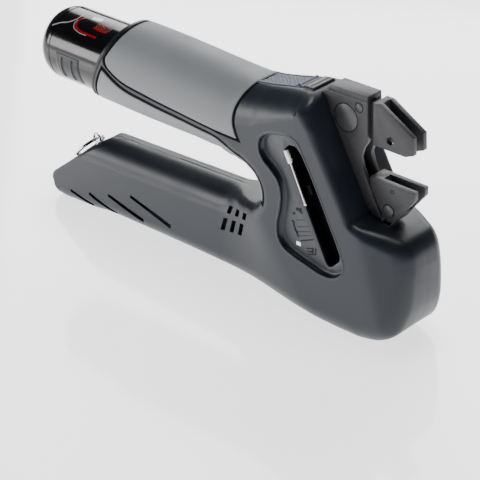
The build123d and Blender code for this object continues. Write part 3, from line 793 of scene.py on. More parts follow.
# ---------------------------------------------------------------------------
# the housing's skin
# ---------------------------------------------------------------------------
@dataclass(frozen=True)
class Skin:
    """The housing's outer skin as a half-width over its side view.

    Each knot holds x, z, how far in from the outline the edge is rounded, how much of the
    half-width that rounding takes away, and how full the rounding is.
    """

    outer_knots: tuple = (
        (-150.75, 10.5, 4, 6, 2), (-149.9, 5.2, 6, 7, 2), (-147.0, 1.5, 8, 8, 2),
        (-142.0, 0.05, 10, 8.5, 2), (-130.0, 0.0, 11, 9, 2), (-116.0, 0.1, 11, 10, 2),
        (-98.0, 1.5, 12, 11.5, 2), (-60.0, 2.3, 12, 11.5, 2), (0.0, 2.5, 12, 11.5, 2),
        (45.0, 1.8, 14, 12.5, 2), (72.0, 0.5, 14, 12.5, 2), (90.0, 0.0, 13, 11.5, 2),
        (108.0, 0.0, 13, 11, 2), (121.0, 1.2, 12, 10, 2), (134.0, 5.2, 12, 9, 2),
        (143.6, 12.4, 11, 8.5, 2), (148.7, 24.0, 10, 8, 2), (150.75, 42.0, 9, 8, 2),
        (150.6, 55.0, 9, 8, 2), (148.6, 64.0, 9, 8, 2), (144.2, 69.4, 9, 8, 2),
        (137.5, 71.8, 8, 8, 2), (126.0, 73.9, 7, 7, 2), (117.0, 75.0, 5, 5, 2),
        (113.7, 76.2, 4, 4, 2), (111.8, 79.6, 4, 4, 2), (108.0, 87.0, 4.5, 4, 2),
        (98.0, 106.0, 5, 4.5, 2), (88.0, 125.0, 6, 5, 2), (83.4, 134.0, 8, 8, 2),
        (80.6, 138.8, 10, 11, 1.8), (77.0, 141.3, 12, 14, 1.6), (71.0, 141.55, 13, 15, 1.5),
        (58.0, 139.3, 15, 16, 1.5), (44.0, 136.3, 18, 17, 1.6), (34.0, 134.6, 22, 20, 1.8),
        (21.0, 133.9, 26, 24.5, 2), (-5.0, 135.0, 27.3, 25.8, 2), (-30.0, 136.4, 27.3, 25.9, 2),
        (-60.0, 137.5, 27.8, 25.9, 2), (-79.0, 137.7, 27.8, 25.9, 2),
    )
    inner_knots: tuple = (
        (-150.75, 10.5, 4, 6, 2), (-150.6, 14.0, 3.5, 4, 2), (-148.8, 17.2, 3, 3, 2),
        (-145.0, 20.3, 2.5, 2.5, 2), (-135.0, 28.1, 2.5, 2.5, 2), (-120.0, 39.9, 2.5, 2.5, 2),
        (-109.0, 48.4, 2.5, 2, 2), (-104.0, 51.9, 2.5, 1.5, 2), (-98.0, 53.3, 2, 1, 2),
        (-85.0, 54.0, 1.5, 0.5, 2), (-40.0, 55.8, 1.5, 0.5, 2), (0.0, 57.35, 1.5, 0.5, 2),
        (18.0, 58.0, 4, 4, 2), (28.0, 58.45, 8, 7.5, 2), (36.5, 60.0, 9, 8.5, 2),
        (42.05, 66.4, 9, 8.5, 2), (43.0, 71.3, 9, 8.5, 2), (42.05, 76.2, 9, 8.5, 2),
        (36.5, 82.5, 10, 9.5, 2), (29.0, 84.3, 13, 12.5, 2), (21.0, 83.6, 18, 17, 2),
        (5.0, 82.7, 25, 24, 2), (-20.0, 82.0, 27.3, 25.9, 2), (-50.0, 81.8, 27.3, 25.9, 2),
        (-78.0, 82.1, 27.8, 25.9, 2), (-102.5, 83.0, 26.5, 25.6, 2),
    )
    handle_half: float = 16.5
    body_half: float = 25.0
    grip_half: float = 25.9
    handle_top: float = 57.4
    handle_rise: float = 0.0394
    handle_end: tuple[float, float] = (4.0, 30.0)
    flare_end: float = 88.0
    flare_shorten: float = 42.0
    flare_height: float = 60.0
    column_z: tuple[float, float] = (58.0, 84.0)
    grip_start: tuple[float, float] = (-34.0, -6.0)
    crease: tuple[float, float] = (121.0, 77.0)
    crease_lean: float = 0.27
    crease_round: float = 2.0
    nose_taper: float = 0.36
    nose_top: tuple[float, float] = (-86.0, -74.0)
    x_limit: float = 150.75
    z_limit: float = 148.0

    def curves(self) -> tuple[SideCurve, SideCurve]:
        """The inner side curve (towards the finger gap) and the outer one."""
        return SideCurve(list(self.inner_knots)), SideCurve(list(self.outer_knots))

    def flat_half(self, x: np.ndarray, z: np.ndarray) -> np.ndarray:
        """Half-width before any edge is rounded.

        The lower handle flares into the body over a stretch that gets shorter with height,
        the nose tapers beyond its crease on a softplus ramp, and the grip has its own width.

        Args:
            x: Places along the tool.
            z: Heights.

        Returns:
            Half-widths.
        """
        start = self.handle_end[0]
        reach = self.flare_end - self.flare_shorten * np.clip(z / self.flare_height, 0.0, 1.0)
        flare = smooth(x, start, reach)
        lower = self.handle_half + (self.body_half - self.handle_half) * flare
        upper = self.body_half + (self.grip_half - self.body_half) * smooth(-x, *self.grip_start)
        half = lower + (upper - lower) * smooth(z, *self.column_z)
        past = x - (self.crease[0] + self.crease_lean * (self.crease[1] - z))
        ramp = np.log1p(np.exp(np.clip(past / self.crease_round, -30.0, 30.0)))
        taper = self.nose_taper * self.crease_round * ramp
        return half - taper * smooth(-z, *self.nose_top)

    def half_width(self, points: np.ndarray) -> np.ndarray:
        """Half-width of the skin at points of the side view.

        It is the flat half-width, less the round top of the lower handle, less the rounding
        of the nearest place on each side curve.

        Args:
            points: Array of x and z pairs.

        Returns:
            Half-widths, never below a fifth of a millimetre.
        """
        x, z = points[:, 0], points[:, 1]
        half = self.flat_half(x, z)
        below = self.handle_top + self.handle_rise * x - z
        on_handle = (1.0 - smooth(x, *self.handle_end)) * (z < self.handle_top + 12.6)
        half = half - self.handle_half * on_handle * rounding(below, self.handle_half, 2.0)
        for curve in self.curves():
            gap, extras = nearest(curve.table(700), points)
            drop = np.minimum(extras[:, 1], half)
            half = half - drop * rounding(gap, extras[:, 0], extras[:, 2])
        return np.maximum(half, 0.2)

    def on_skin(self, points: np.ndarray, lift: float = 0.0) -> np.ndarray:
        """Points of the side view laid on the near skin, lifted along its normal.

        Args:
            points: Grid of x and z pairs.
            lift: Height above the skin.

        Returns:
            Grid of x, y and z.
        """
        shape = points.shape[:2]
        y = -self.half_width(points.reshape(-1, 2)).reshape(shape)
        grid = np.stack([points[..., 0], y, points[..., 1]], 2)
        if lift:
            step = 0.25
            slopes = []
            for axis in range(2):
                shift = np.zeros(2)
                shift[axis] = step
                ahead = self.half_width((points + shift).reshape(-1, 2)).reshape(shape)
                behind = self.half_width((points - shift).reshape(-1, 2)).reshape(shape)
                slopes.append((ahead - behind) / (2 * step))
            normal = unit(np.stack([-slopes[0], -np.ones(shape), -slopes[1]], 2))
            grid = grid + lift * normal
        return grid


@dataclass
class Housing:
    """The two housing halves as hollow shells."""

    skin: Skin
    wall: float = 2.4
    stations: int = 460
    across: int = 92
    groove: float = 0.22
    head_slot: tuple = ((88.0, 146.0), (112.0, 146.0), (128.0, 71.0), (100.0, 71.0),
                        (66.0, 134.5))
    head_slot_half: float = 6.35
    well_z: tuple[float, float] = (126.0, 150.0)
    button_clear: float = 0.35
    slits: tuple = (((-131.2, 9.8), (-111.4, 4.4)), ((-113.2, 13.9), (-89.9, 5.7)),
                    ((-95.0, 18.8), (-63.4, 11.2)), ((-74.3, 25.3), (-38.5, 16.2)))
    slit_half: tuple[float, float] = (1.1, 1.7)
    vent_rows: tuple = ((13.4, 46.9, 5.4), (8.3, 35.4, 9.4))
    vent_step: tuple[float, float] = (8.0, 1.5)
    vent_half: float = 1.9
    vent_lean: tuple[float, float] = (0.35, 0.2)
    cut_y: tuple[float, float] = (9.0, 60.0)
    landmarks: tuple = ((0, 0), (5, 4), (8, 6), (11, 8), (13, 9), (15, 13), (17, 18), (18, 25),
                        (19, 31), (20, 36), (22, 38), (-1, -1))

    def matched(self, count: int) -> tuple[np.ndarray, np.ndarray]:
        """Both side curves with the same count of places, matched from the tail to the collar.

        The matching runs on pairs of knots, the landmarks: tail, end of the slanted face, root
        of the handle, the finger gap's end and the collar.

        Args:
            count: Number of places.

        Returns:
            The inner and the outer curve, held inside the tool's box.
        """
        curves = self.skin.curves()
        marks = [curve.at_knot[[pair[column] for pair in self.landmarks]]
                 for column, curve in enumerate(curves)]
        steps = np.maximum(np.diff(marks[1]), np.diff(marks[0]))
        share = np.cumsum(np.concatenate([[0], steps]))
        low, high = (-self.skin.x_limit, 0.0), (self.skin.x_limit, self.skin.z_limit)
        places = []
        for curve, mark in zip(curves, marks):
            found = curve.at(np.interp(np.linspace(0.0, 1.0, count) * share[-1], share, mark))
            found[:, :2] = np.clip(found[:, :2], low, high)
            places.append(found)
        return places[0], places[1]

    def sheet(self, inset: float, stations: int, across: int) -> np.ndarray:
        """One face of the near shell as a grid: stations along the tool, places across it.

        Every station is a straight line in the side view from the inner to the outer curve,
        and the skin gives its depth. Its first and last places lie on the middle plane.

        Args:
            inset: How far this face lies inside the skin.
            stations: Number of stations.
            across: Places across each station.

        Returns:
            Grid of x, y and z on the near side.
        """
        start, end = self.matched(stations)
        start, end = start[:, :2], end[:, :2]
        if inset:
            start = start + inset * self.inward(start, end)
            end = end + inset * self.inward(end, start)
        weight = spread(across, 0.75)[None, :, None]
        places = start[:, None, :] * (1 - weight) + end[:, None, :] * weight
        grid = self.skin.on_skin(places)
        if inset:
            grid[..., 1] = np.minimum(grid[..., 1] + inset, -0.1)
        rims = grid[:, [0, -1], :].copy()
        rims[..., 1] = 0.0
        if not inset:
            towards = np.stack([places[:, 1] - places[:, 0], places[:, -2] - places[:, -1]], 1)
            rims[..., [0, 2]] += self.groove * unit(towards)
        return np.concatenate([rims[:, :1], grid, rims[:, 1:]], axis=1)

    @staticmethod
    def inward(curve: np.ndarray, other: np.ndarray) -> np.ndarray:
        """Unit normals of a side curve that point to the other curve.

        Args:
            curve: Rows of x and z.
            other: The matched rows of the other curve.

        Returns:
            A unit vector for each row.
        """
        tangent = unit(np.gradient(curve, axis=0))
        normal = np.stack([-tangent[:, 1], tangent[:, 0]], 1)
        sign = np.sign(((other - curve) * normal).sum(axis=1, keepdims=True))
        sign[sign == 0] = 1.0
        return normal * np.where(sign.mean() > 0, 1.0, -1.0)

    def shell(self, side: Side) -> bpy.types.Object:
        """One housing half: outer and inner faces joined along the middle plane.

        Args:
            side: Which half.

        Returns:
            The uncut shell.
        """
        outer = self.sheet(0.0, self.stations, self.across)
        inner = self.sheet(self.wall, self.stations, self.across)[:, ::-1]
        section = np.concatenate([outer, inner], axis=1)
        rows, columns = section.shape[:2]
        faces = grid_faces(rows, columns, wrap_columns=True)
        half = columns // 2
        j = np.arange(half - 1)
        base = (rows - 1) * columns
        end = np.stack([base + j, base + j + 1, base + columns - 2 - j, base + columns - 1 - j], 1)
        faces = np.concatenate([faces, end])
        name = f"housing_shell_{side.name.lower()}"
        return make_object(name, mirrored(section.reshape(-1, 3), side), faces, 40.0)

    def cutters(self, side: Side) -> list[bpy.types.Object]:
        """Solids for the openings: button well, head slot, vents and slits.

        Args:
            side: Side that the vents are cut in.

        Returns:
            The solids, which don't touch each other.
        """
        low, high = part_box("thumb_button")
        x_low, x_high = low.x / MM - self.button_clear, high.x / MM + self.button_clear
        y_half = high.y / MM + self.button_clear
        bottom, top = self.well_z
        tools = [cuboid("well", (x_low, -y_half, bottom), (x_high, y_half, top))]
        slot = np.array(self.head_slot)
        tools.append(prism("slot", slot, -self.head_slot_half, self.head_slot_half))
        y_low, y_high = sorted(side.value * y for y in self.cut_y)
        for row_x, row_z, height in self.vent_rows:
            corner = np.array([(-1, -1), (1, -1), (1, 1), (-1, 1)]) * (self.vent_half, height / 2)
            corner = corner + corner[:, ::-1] * self.vent_lean
            for index in range(3):
                middle = np.array([row_x, row_z]) + index * np.array(self.vent_step)
                tools.append(prism("vent", middle + corner, y_low, y_high))
        narrow, wide = self.slit_half
        for ends in self.slits:
            start, end = np.array(ends)
            along = unit(end - start)
            across = np.array([-along[1], along[0]])
            outline = np.array([start - narrow * across, end - wide * across,
                                end + wide * across, start + narrow * across])
            tools.append(prism("slit", outline, y_low, y_high))
        return tools

    def build(self, shop: Workshop, panel: "SidePanel") -> None:
        """Make, cut and dress both halves.

        Args:
            shop: Dresses the pieces.
            panel: Gives the outline of the window in the near half.
        """
        for side in Side:
            shell = self.shell(side)
            tools = self.cutters(side)
            if side is Side.NEAR:
                tools.append(prism("window", panel.outline(0.2, 160), -60.0, -10.0))
            carve(shell, tools, 40.0)
            node = f"housing_{side.name.lower()}"
            shop.dress(shell, Paint.HOUSING, "tool", "charcoal_housing", node)


# ---------------------------------------------------------------------------
# side panel
# ---------------------------------------------------------------------------
@dataclass
class SidePanel:
    """Recess in the near side with its floor, its deep slot and the service key."""

    skin: Skin
    floor_y: float = -21.8
    slot_depth: float = 8.0
    around: int = 240
    lip: tuple = ((-1.6, -0.15), (-1.2, 0.12), (-0.6, 0.25), (-0.2, 0.2), (0.0, 0.0))
    slot_knots: tuple = ((63.4, 106.4), (66.4, 110.0), (72.0, 110.6), (76.3, 106.0), (89.6, 84.0),
                         (98.0, 66.0), (104.6, 51.5), (104.4, 48.0), (98.4, 42.0), (95.9, 41.3),
                         (94.2, 43.4), (79.2, 74.0))
    knots: tuple = (
        (47.3, 109.6, 1.6), (52.4, 113.6, 1.4), (60.6, 115.9, 1.2), (69.5, 117.0, 1.0),
        (75.4, 114.9, 1.0), (79.6, 108.0, 1.0), (85.0, 99.0, 1.0), (91.8, 86.4, 1.0),
        (100.4, 69.2, 1.0), (107.6, 54.4, 1.0), (109.5, 48.0, 1.2), (107.7, 41.6, 1.8),
        (101.6, 37.2, 2.2), (93.5, 36.3, 2.4), (82.5, 38.4, 2.4), (71.4, 40.9, 2.6),
        (64.0, 43.9, 3.0), (60.2, 48.8, 3.2), (59.4, 57.4, 3.0), (61.7, 68.4, 2.6),
        (62.6, 78.4, 2.4), (60.2, 86.5, 2.6), (54.6, 91.8, 3.0), (48.8, 96.4, 2.8),
        (45.9, 102.6, 2.2),
    )
    scale_line_width: float = 0.5
    scale_lines: tuple = (((71.6, 63.3), (78.0, 65.6)), ((72.2, 59.1), (81.2, 62.4)),
                          ((72.8, 56.0), (82.5, 59.6)), ((73.4, 53.5), (83.1, 57.1)))
    scale_dashes: tuple = (
        ((74.7, 50.6), (85.0, 55.3), 0.9), ((69.0, 66.6), (71.0, 67.6), 1.3),
        ((71.6, 70.6), (76.2, 71.6), 2.0), ((74.2, 70.4), (76.6, 69.4), 1.6),
        ((68.2, 62.0), (70.6, 61.0), 1.5), ((69.6, 60.4), (71.0, 56.6), 1.5),
        ((70.6, 57.0), (72.6, 55.2), 1.7), ((71.8, 55.6), (73.4, 52.6), 1.5),
        ((79.4, 47.4), (84.0, 48.9), 0.9), ((79.9, 45.6), (84.3, 47.0), 0.9),
        ((84.0, 45.6), (84.6, 49.6), 1.2), ((86.2, 46.2), (86.8, 50.2), 1.2),
        ((80.4, 43.9), (86.9, 46.0), 0.9),
    )
    lamp_low: tuple[float, float] = (71.8, 47.2)
    lamp_high: tuple[float, float] = (75.0, 49.6)
    rod: float = 0.7
    knurl: tuple[int, float] = (16, 0.06)

    def loop(self, count: int) -> np.ndarray:
        """The rim as a closed smooth loop.

        Args:
            count: Number of places.

        Returns:
            Rows of x, z and the width of the wall inside the rim.
        """
        ends = self.knots[-3:] + self.knots + self.knots[:3]
        curve = SideCurve(list(ends))
        start, stop = curve.at_knot[3], curve.at_knot[len(self.knots) + 3]
        return curve.at(np.linspace(start, stop, count, endpoint=False))

    def outline(self, inset: float, count: int) -> np.ndarray:
        """The rim's x and z, moved inwards by inset."""
        loop = self.loop(count)
        return loop[:, :2] + inset * self.inward(loop)

    @staticmethod
    def inward(loop: np.ndarray) -> np.ndarray:
        """Unit normals of a closed loop that point to its middle.

        Args:
            loop: Rows that start with x and z.

        Returns:
            A unit vector for each row.
        """
        tangent = unit(np.roll(loop[:, :2], -1, axis=0) - np.roll(loop[:, :2], 1, axis=0))
        normal = np.stack([tangent[:, 1], -tangent[:, 0]], 1)
        towards = (loop[:, :2].mean(axis=0) - loop[:, :2]) * normal
        return normal * np.sign(towards.sum())

    def wall(self) -> bpy.types.Object:
        """Rounded lip and wall of the recess, swept round the rim.

        The section goes from just outside the rim on the skin, over a small round lip, and
        down a quarter of an ellipse whose width is the wall width at that place.

        Returns:
            The new object.
        """
        loop = self.loop(self.around)
        normal = self.inward(loop)
        width = loop[:, 2]
        turn = np.linspace(0.0, np.pi / 2, 9)
        rings = []
        for out, lift in self.lip:
            rings.append(self.skin.on_skin((loop[:, :2] + out * normal)[None], lift)[0])
        top = rings[-1]
        for angle in turn[1:]:
            place = loop[:, :2] + normal * (width * (1 - np.cos(angle)))[:, None]
            y = top[:, 1] + (self.floor_y - top[:, 1]) * np.sin(angle)
            rings.append(np.stack([place[:, 0], y, place[:, 1]], 1))
        under = rings[-1] + np.array([0.0, 1.4, 0.0])
        back = np.stack([loop[:, 0] - normal[:, 0], top[:, 1] + 2.0, loop[:, 1] - normal[:, 1]], 1)
        return ring_object("panel_lip", np.stack(rings + [under, back]), 50.0)

    def slot_outline(self, grow: float, count: int = 72) -> np.ndarray:
        """Outline of the deep slot: its knots joined by straight lines.

        Args:
            grow: How far it is moved outwards.
            count: Number of places.

        Returns:
            Rows of x and z.
        """
        knots = np.array(self.slot_knots + self.slot_knots[:1])
        steps = np.concatenate([[0.0], np.cumsum(np.linalg.norm(np.diff(knots, axis=0), axis=1))])
        places = np.linspace(0.0, steps[-1], count, endpoint=False)
        line = np.stack([np.interp(places, steps, knots[:, axis]) for axis in range(2)], 1)
        return line - grow * self.inward(line)

    def floor(self) -> bpy.types.Object:
        """Floor plate with the slot cut through it.

        Returns:
            The new object.
        """
        loop = self.loop(self.around)
        outline = loop[:, :2] + self.inward(loop) * (loop[:, 2:3] - 0.6)
        floor = prism("panel_floor", outline, self.floor_y, self.floor_y + 1.6)
        carve(floor, [prism("slot", self.slot_outline(0.0), -40.0, 0.0)])
        soften(floor, 0.3, 50.0)
        return floor

    def trough(self) -> bpy.types.Object:
        """Trough behind the slot, open to the front, in dead black as painted shade so that the
        deep slot reads as shadow.

        Its section runs down the outside, under the bottom, up over the bottom's inner face
        and out again, so that it is one closed shell.

        Returns:
            The new object.
        """
        back = self.floor_y + self.slot_depth
        loops = []
        for grow, y in ((1.4, self.floor_y + 1.5), (1.4, back + 1.2), (-3.0, back + 1.2),
                        (-3.2, back), (0.2, back), (0.2, self.floor_y + 1.5)):
            outline = self.slot_outline(grow)
            loops.append(np.stack([outline[:, 0], np.full(len(outline), y), outline[:, 1]], 1))
        return ring_object("slot_trough", np.stack(loops), 30.0)

    def trough_bottom(self) -> bpy.types.Object:
        """Plate that closes the trough's middle."""
        back = self.floor_y + self.slot_depth
        return prism("slot_bottom", self.slot_outline(-2.0), back - 0.3, back + 0.9)

    def mark(self, name: str, start: tuple[float, float], end: tuple[float, float],
             width: float, lift: float = 0.04) -> bpy.types.Object:
        """Thin bar on the floor.

        Args:
            name: Name of the piece.
            start: Place of one end in the side view.
            end: Place of the other end.
            width: Width of the bar.
            lift: How far it stands out of the floor.

        Returns:
            The new object.
        """
        a, b = np.array(start), np.array(end)
        along = (b - a) / np.linalg.norm(b - a)
        across = np.array([-along[1], along[0]]) * width / 2
        outline = np.array([a - across, b - across, b + across, a + across])
        return prism(name, outline, self.floor_y - lift, self.floor_y + 0.3)

    def marks(self, shop: Workshop) -> None:
        """Scale beside the slot: four lines, then plain dashes and hatching.

        Args:
            shop: Dresses the pieces.
        """
        for index, (start, end) in enumerate(self.scale_lines):
            line = self.mark(f"scale_line_{index}", start, end, self.scale_line_width)
            shop.dress(line, Paint.FAINT, "tool", "scale_print")
        for index, (start, end, width) in enumerate(self.scale_dashes):
            dash = self.mark(f"scale_mark_{index}", start, end, width)
            shop.dress(dash, Paint.PRINT, "tool", "scale_print")
        plate = self.mark("scale_field", (71.0, 53.5), (82.0, 64.0), 0.4, -0.05)
        shop.dress(plate, Paint.PANEL, "tool", "scale_print", "setting_scale")

    def key(self) -> bpy.types.Object:
        """Service key: knurled head, slim rod and a small foot, turned on one axis.

        The knurl is a cosine of the angle on the head's radius.

        Returns:
            The new object.
        """
        low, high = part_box("service_key")
        level = self.floor_y + 0.4
        start = np.array([low.x / MM + 0.9, level, high.z / MM - 1.2])
        end = np.array([high.x / MM - 3.0, level, low.z / MM - 0.4])
        axis = unit(end - start)
        side_a = np.array([0.0, 1.0, 0.0])
        side_b = np.cross(axis, side_a)
        length = float(np.linalg.norm(end - start))
        profile = np.array([(0.0, 1.2), (0.3, 1.55), (8.0, 1.55), (8.4, 1.3), (8.5, self.rod),
                            (length - 1.4, self.rod), (length - 1.3, 1.0), (length - 0.3, 1.0),
                            (length, 0.8)])
        turn = np.linspace(0, 2 * np.pi, 48, endpoint=False)
        teeth, depth = self.knurl
        knurl = 1.0 + depth * np.cos(teeth * turn) * (profile[:, 1:2] > 1.5)
        radius = profile[:, 1:2] * knurl
        loops = (start + profile[:, :1, None] * axis
                 + (radius * np.cos(turn))[..., None] * side_a
                 + (radius * np.sin(turn))[..., None] * side_b)
        return tube_object("service_key_turned", loops, 40.0)

    def build(self, shop: Workshop) -> None:
        """Make and dress the recess, its slot, the lamp, the key and the marks.

        Args:
            shop: Dresses the pieces.
        """
        shop.dress(self.wall(), Paint.HOUSING, "tool", "charcoal_housing")
        shop.dress(self.floor(), Paint.PANEL, "tool", "panel_black", "side_panel")
        # painted shade: the trough and its bottom plate are dead black so the deep slot reads as
        # shadow
        shop.dress(self.trough(), Paint.SEAM, "tool", "panel_black")
        shop.dress(self.trough_bottom(), Paint.SEAM, "tool", "panel_black")
        low = (self.lamp_low[0], self.floor_y - 0.25, self.lamp_low[1])
        high = (self.lamp_high[0], self.floor_y + 0.6, self.lamp_high[1])
        lamp = cuboid("lamp_window", low, high)
        soften(lamp, 0.2)
        shop.dress(lamp, Paint.LAMP, "tool", "lamp_white", "lamp_lens")
        shop.dress(self.key(), Paint.BRIGHT, "key", "bright_steel", "service_key")
        self.marks(shop)


# ---------------------------------------------------------------------------
# grip
# ---------------------------------------------------------------------------
@dataclass
class Grip:
    """Soft grip covers, the dark rib below them, the soft underside and the rear rim."""

    skin: Skin
    rim_x: float = -91.6
    rim_z: float = 108.0
    rim_lean: float = 0.45
    rim_width: float = 2.6
    seam_knots: tuple = ((-100.0, 126.0), (-87.3, 120.5), (-67.4, 111.1), (-45.0, 107.8),
                         (-18.8, 105.4), (5.0, 103.6), (27.8, 102.4), (34.0, 102.2))
    rib: float = 1.4
    line: float = 2.0
    proud: float = 0.5
    rim_gap: float = 1.6
    bow: tuple[float, float, float] = (25.5, 117.0, 0.019)
    corner: tuple[float, float] = (7.0, 5.0)
    lip_width: float = 4.6
    lip_end: tuple[float, float] = (41.0, 68.0)
    narrowing: tuple[float, float] = (12.0, 36.0)
    rim_middle: float = 110.3
    rim_half: float = 27.3

    def rear(self, z: np.ndarray) -> np.ndarray:
        """X of the grip's slanted rear edge at a height."""
        return self.rim_x + self.rim_lean * (z - self.rim_z)

    def front(self, z: np.ndarray) -> np.ndarray:
        """X of the bowed front seam at a height."""
        x, middle, bend = self.bow
        return x + bend * (z - middle) ** 2

    def seam(self, x: np.ndarray) -> np.ndarray:
        """Height of the long side seam at x."""
        curve = SideCurve(list(self.seam_knots)).table(200)
        return np.interp(x, curve[:, 0], curve[:, 1])

    def top_field(self, grow: float, rows: int = 130, columns: int = 64) -> np.ndarray:
        """Grid on the skin from the side seam up to the top line, grown on its free edges.

        Rows run from the rear rim to the front seam, and columns from the seam to the top by
        the sine of the share. The rear corner at the seam is rounded off. Both ends depend on
        the height and the height on the place, so a few rounds settle them.

        Args:
            grow: How far the free edges are moved outwards.
            rows: Places along the tool.
            columns: Places up the side.

        Returns:
            Grid of x, y and z.
        """
        t = spread(rows, 0.5)[:, None] * np.ones((1, columns))
        w = np.linspace(0.0, 1.0, columns)[None, :] * np.ones((rows, 1))
        top = self.skin.curves()[1].table(900)
        top = top[(top[:, 1] > 132.0) & (top[:, 0] < 40.0)][::-1]
        start = self.rim_width + self.rim_gap - grow
        z = np.full((rows, columns), self.bow[1])
        for _ in range(6):
            rear = self.rear(z) + start
            front = self.front(z) + grow
            x = rear + t * (front - rear)
            z_top = np.interp(x, top[:, 0], top[:, 1])
            gap = np.clip(1.0 - (x - rear) / self.corner[0], 0.0, 1.0)
            z_seam = self.seam(x) - grow + self.corner[1] * (1.0 - np.sqrt(1.0 - gap**2))
            z = z_seam + (z_top - z_seam) * np.sin(w * np.pi / 2)
        grid = self.skin.on_skin(np.stack([x, z], 2))
        grid[:, -1, 1] = 0.0
        return grid

    def low_field(self, grow: float, rows: int = 200, columns: int = 48) -> np.ndarray:
        """Grid on the skin from the grip's underside out to the rib, and round the gap's end.

        Rows follow the inner side curve. Columns leave it along its normal, out to a width
        that reaches the rib on the grip and shrinks to a narrow lip round the gap's end.

        Args:
            grow: How far the free edges are moved outwards.
            rows: Places along the curve.
            columns: Places away from it.

        Returns:
            Grid of x, y and z.
        """
        table = self.skin.curves()[0].table(1600)[::-1, :2]
        tangent = unit(np.gradient(table, axis=0))
        normal = np.stack([-tangent[:, 1], tangent[:, 0]], 1)
        steps = np.concatenate([[0.0], np.cumsum(np.linalg.norm(np.diff(table, axis=0), axis=1))])
        first = self.rear(table[:, 1]) + self.rim_width + self.rim_gap - grow
        begin = steps[np.argmax(table[:, 0] > first)]
        on_low_side = (table[:, 0] > self.lip_end[0]) & (table[:, 1] < self.lip_end[1])
        finish = steps[np.argmax(on_low_side)] + grow
        along = np.linspace(begin, finish, rows)
        base = np.stack([np.interp(along, steps, table[:, k]) for k in range(2)], 1)
        out = unit(np.stack([np.interp(along, steps, normal[:, k]) for k in range(2)], 1))
        lean = self.rim_lean * smooth(-base[:, 0], 20.0, 90.0)
        reach = np.full(rows, 20.0)
        for _ in range(12):
            edge_x = base[:, 0] + lean * reach
            edge_z = self.seam(edge_x) - self.rib - 2 * self.line
            reach = 0.5 * reach + 0.5 * (edge_z - base[:, 1])
        narrow = smooth(base[:, 0], *self.narrowing)
        width = reach * (1.0 - narrow) + self.lip_width * narrow + grow
        share = np.sin(np.linspace(0.0, np.pi / 2, columns))
        grid = base[:, None, :] + (out * width[:, None])[:, None, :] * share[None, :, None]
        grid[..., 0] += lean[:, None] * (grid[..., 1] - base[:, None, 1])
        placed = self.skin.on_skin(grid)
        placed[:, 0, 1] = 0.0
        return placed

    def rim_field(self, rows: int = 90, columns: int = 10) -> np.ndarray:
        """Grid on the skin along the rear edge: rows from the bottom to the top.

        Args:
            rows: Places up the side, by the sine of the share.
            columns: Places across the rim.

        Returns:
            Grid of x, y and z.
        """
        angle = np.linspace(-np.pi / 2, np.pi / 2, rows)[:, None] * np.ones((1, columns))
        z = self.rim_middle + self.rim_half * np.sin(angle)
        x = self.rear(z) + np.linspace(0.0, self.rim_width, columns)[None, :]
        grid = self.skin.on_skin(np.stack([x, z], 2))
        grid[[0, -1], :, 1] = 0.0
        return grid

    def build(self, shop: Workshop) -> None:
        """Make and dress the grip's pieces.

        Args:
            shop: Dresses the pieces.
        """
        for side in Side:
            end = side.name.lower()
            bed = patch(f"grip_bed_{end}", self.top_field(self.line), side, 0.12, 0.2,
                        ("start", "end", "low"))
            shop.dress(bed, Paint.SEAM, "tool", "black_trim")
            cover = patch(f"grip_soft_{end}", self.top_field(0.0), side, self.proud, 0.9,
                          ("start", "end", "low"))
            shop.dress(cover, Paint.GRIP, "tool", "soft_grip", f"grip_cover_{end}")
            low_bed = patch(f"strip_bed_{end}", self.low_field(self.line), side, 0.1, 0.2,
                            ("start", "end", "high"))
            shop.dress(low_bed, Paint.SEAM, "tool", "black_trim")
            strip = patch(f"grip_strip_{end}", self.low_field(0.0), side, self.proud, 0.9,
                          ("start", "end", "high"))
            shop.dress(strip, Paint.GRIP, "tool", "soft_grip", "grip_underside", "gap_liner")
            rim = patch(f"rear_rim_{end}", self.rim_field(), side, 0.35, 0.7, ("low", "high"))
            shop.dress(rim, Paint.RIM, "tool", "black_trim", "rear_collar")


def patch(name: str, grid: np.ndarray, side: Side, height: float, round_by: float,
          free: tuple[str, ...], below: float = 0.8) -> bpy.types.Object:
    """Solid sheet on the skin whose free edges are rounded down to it.

    The top lies height above the grid along its normals. Within round_by of a free edge it
    sinks on a quarter circle to the sheet's underside, which lies below the grid. An edge that
    isn't free lies on the middle plane.

    Args:
        name: Name of the piece.
        grid: Near-side grid of points on the skin.
        side: Side that the piece is made for.
        height: Height above the skin.
        round_by: How far in from a free edge the rounding reaches.
        free: Which edges are free: start and end of the rows, low and high of the columns.
        below: Depth of the underside.

    Returns:
        The new object.
    """
    normal = grid_normals(grid)
    normal = normal * np.where(normal[..., 1:2].mean() > 0, -1.0, 1.0)
    along = np.linalg.norm(np.diff(grid, axis=0), axis=2)
    across = np.linalg.norm(np.diff(grid, axis=1), axis=2)
    from_start = np.concatenate([np.zeros((1, grid.shape[1])), np.cumsum(along, axis=0)])
    from_low = np.concatenate([np.zeros((grid.shape[0], 1)), np.cumsum(across, axis=1)], axis=1)
    edges = {"start": from_start, "end": from_start[-1:] - from_start,
             "low": from_low, "high": from_low[:, -1:] - from_low}
    gap = np.min([edges[edge] for edge in free], axis=0)
    t = np.clip(gap / round_by, 0.0, 1.0)
    rise = np.sqrt(1.0 - (1.0 - t) ** 2)
    top = grid + normal * (-below + (height + below) * rise)[..., None]
    low = grid - normal * below
    borders = {"start": np.s_[0, :, 1], "end": np.s_[-1, :, 1],
               "low": np.s_[:, 0, 1], "high": np.s_[:, -1, 1]}
    for edge, border in borders.items():
        if edge not in free:
            top[border] = 0.0
            low[border] = 0.0
    return slab(name, top, low, 50.0, side)


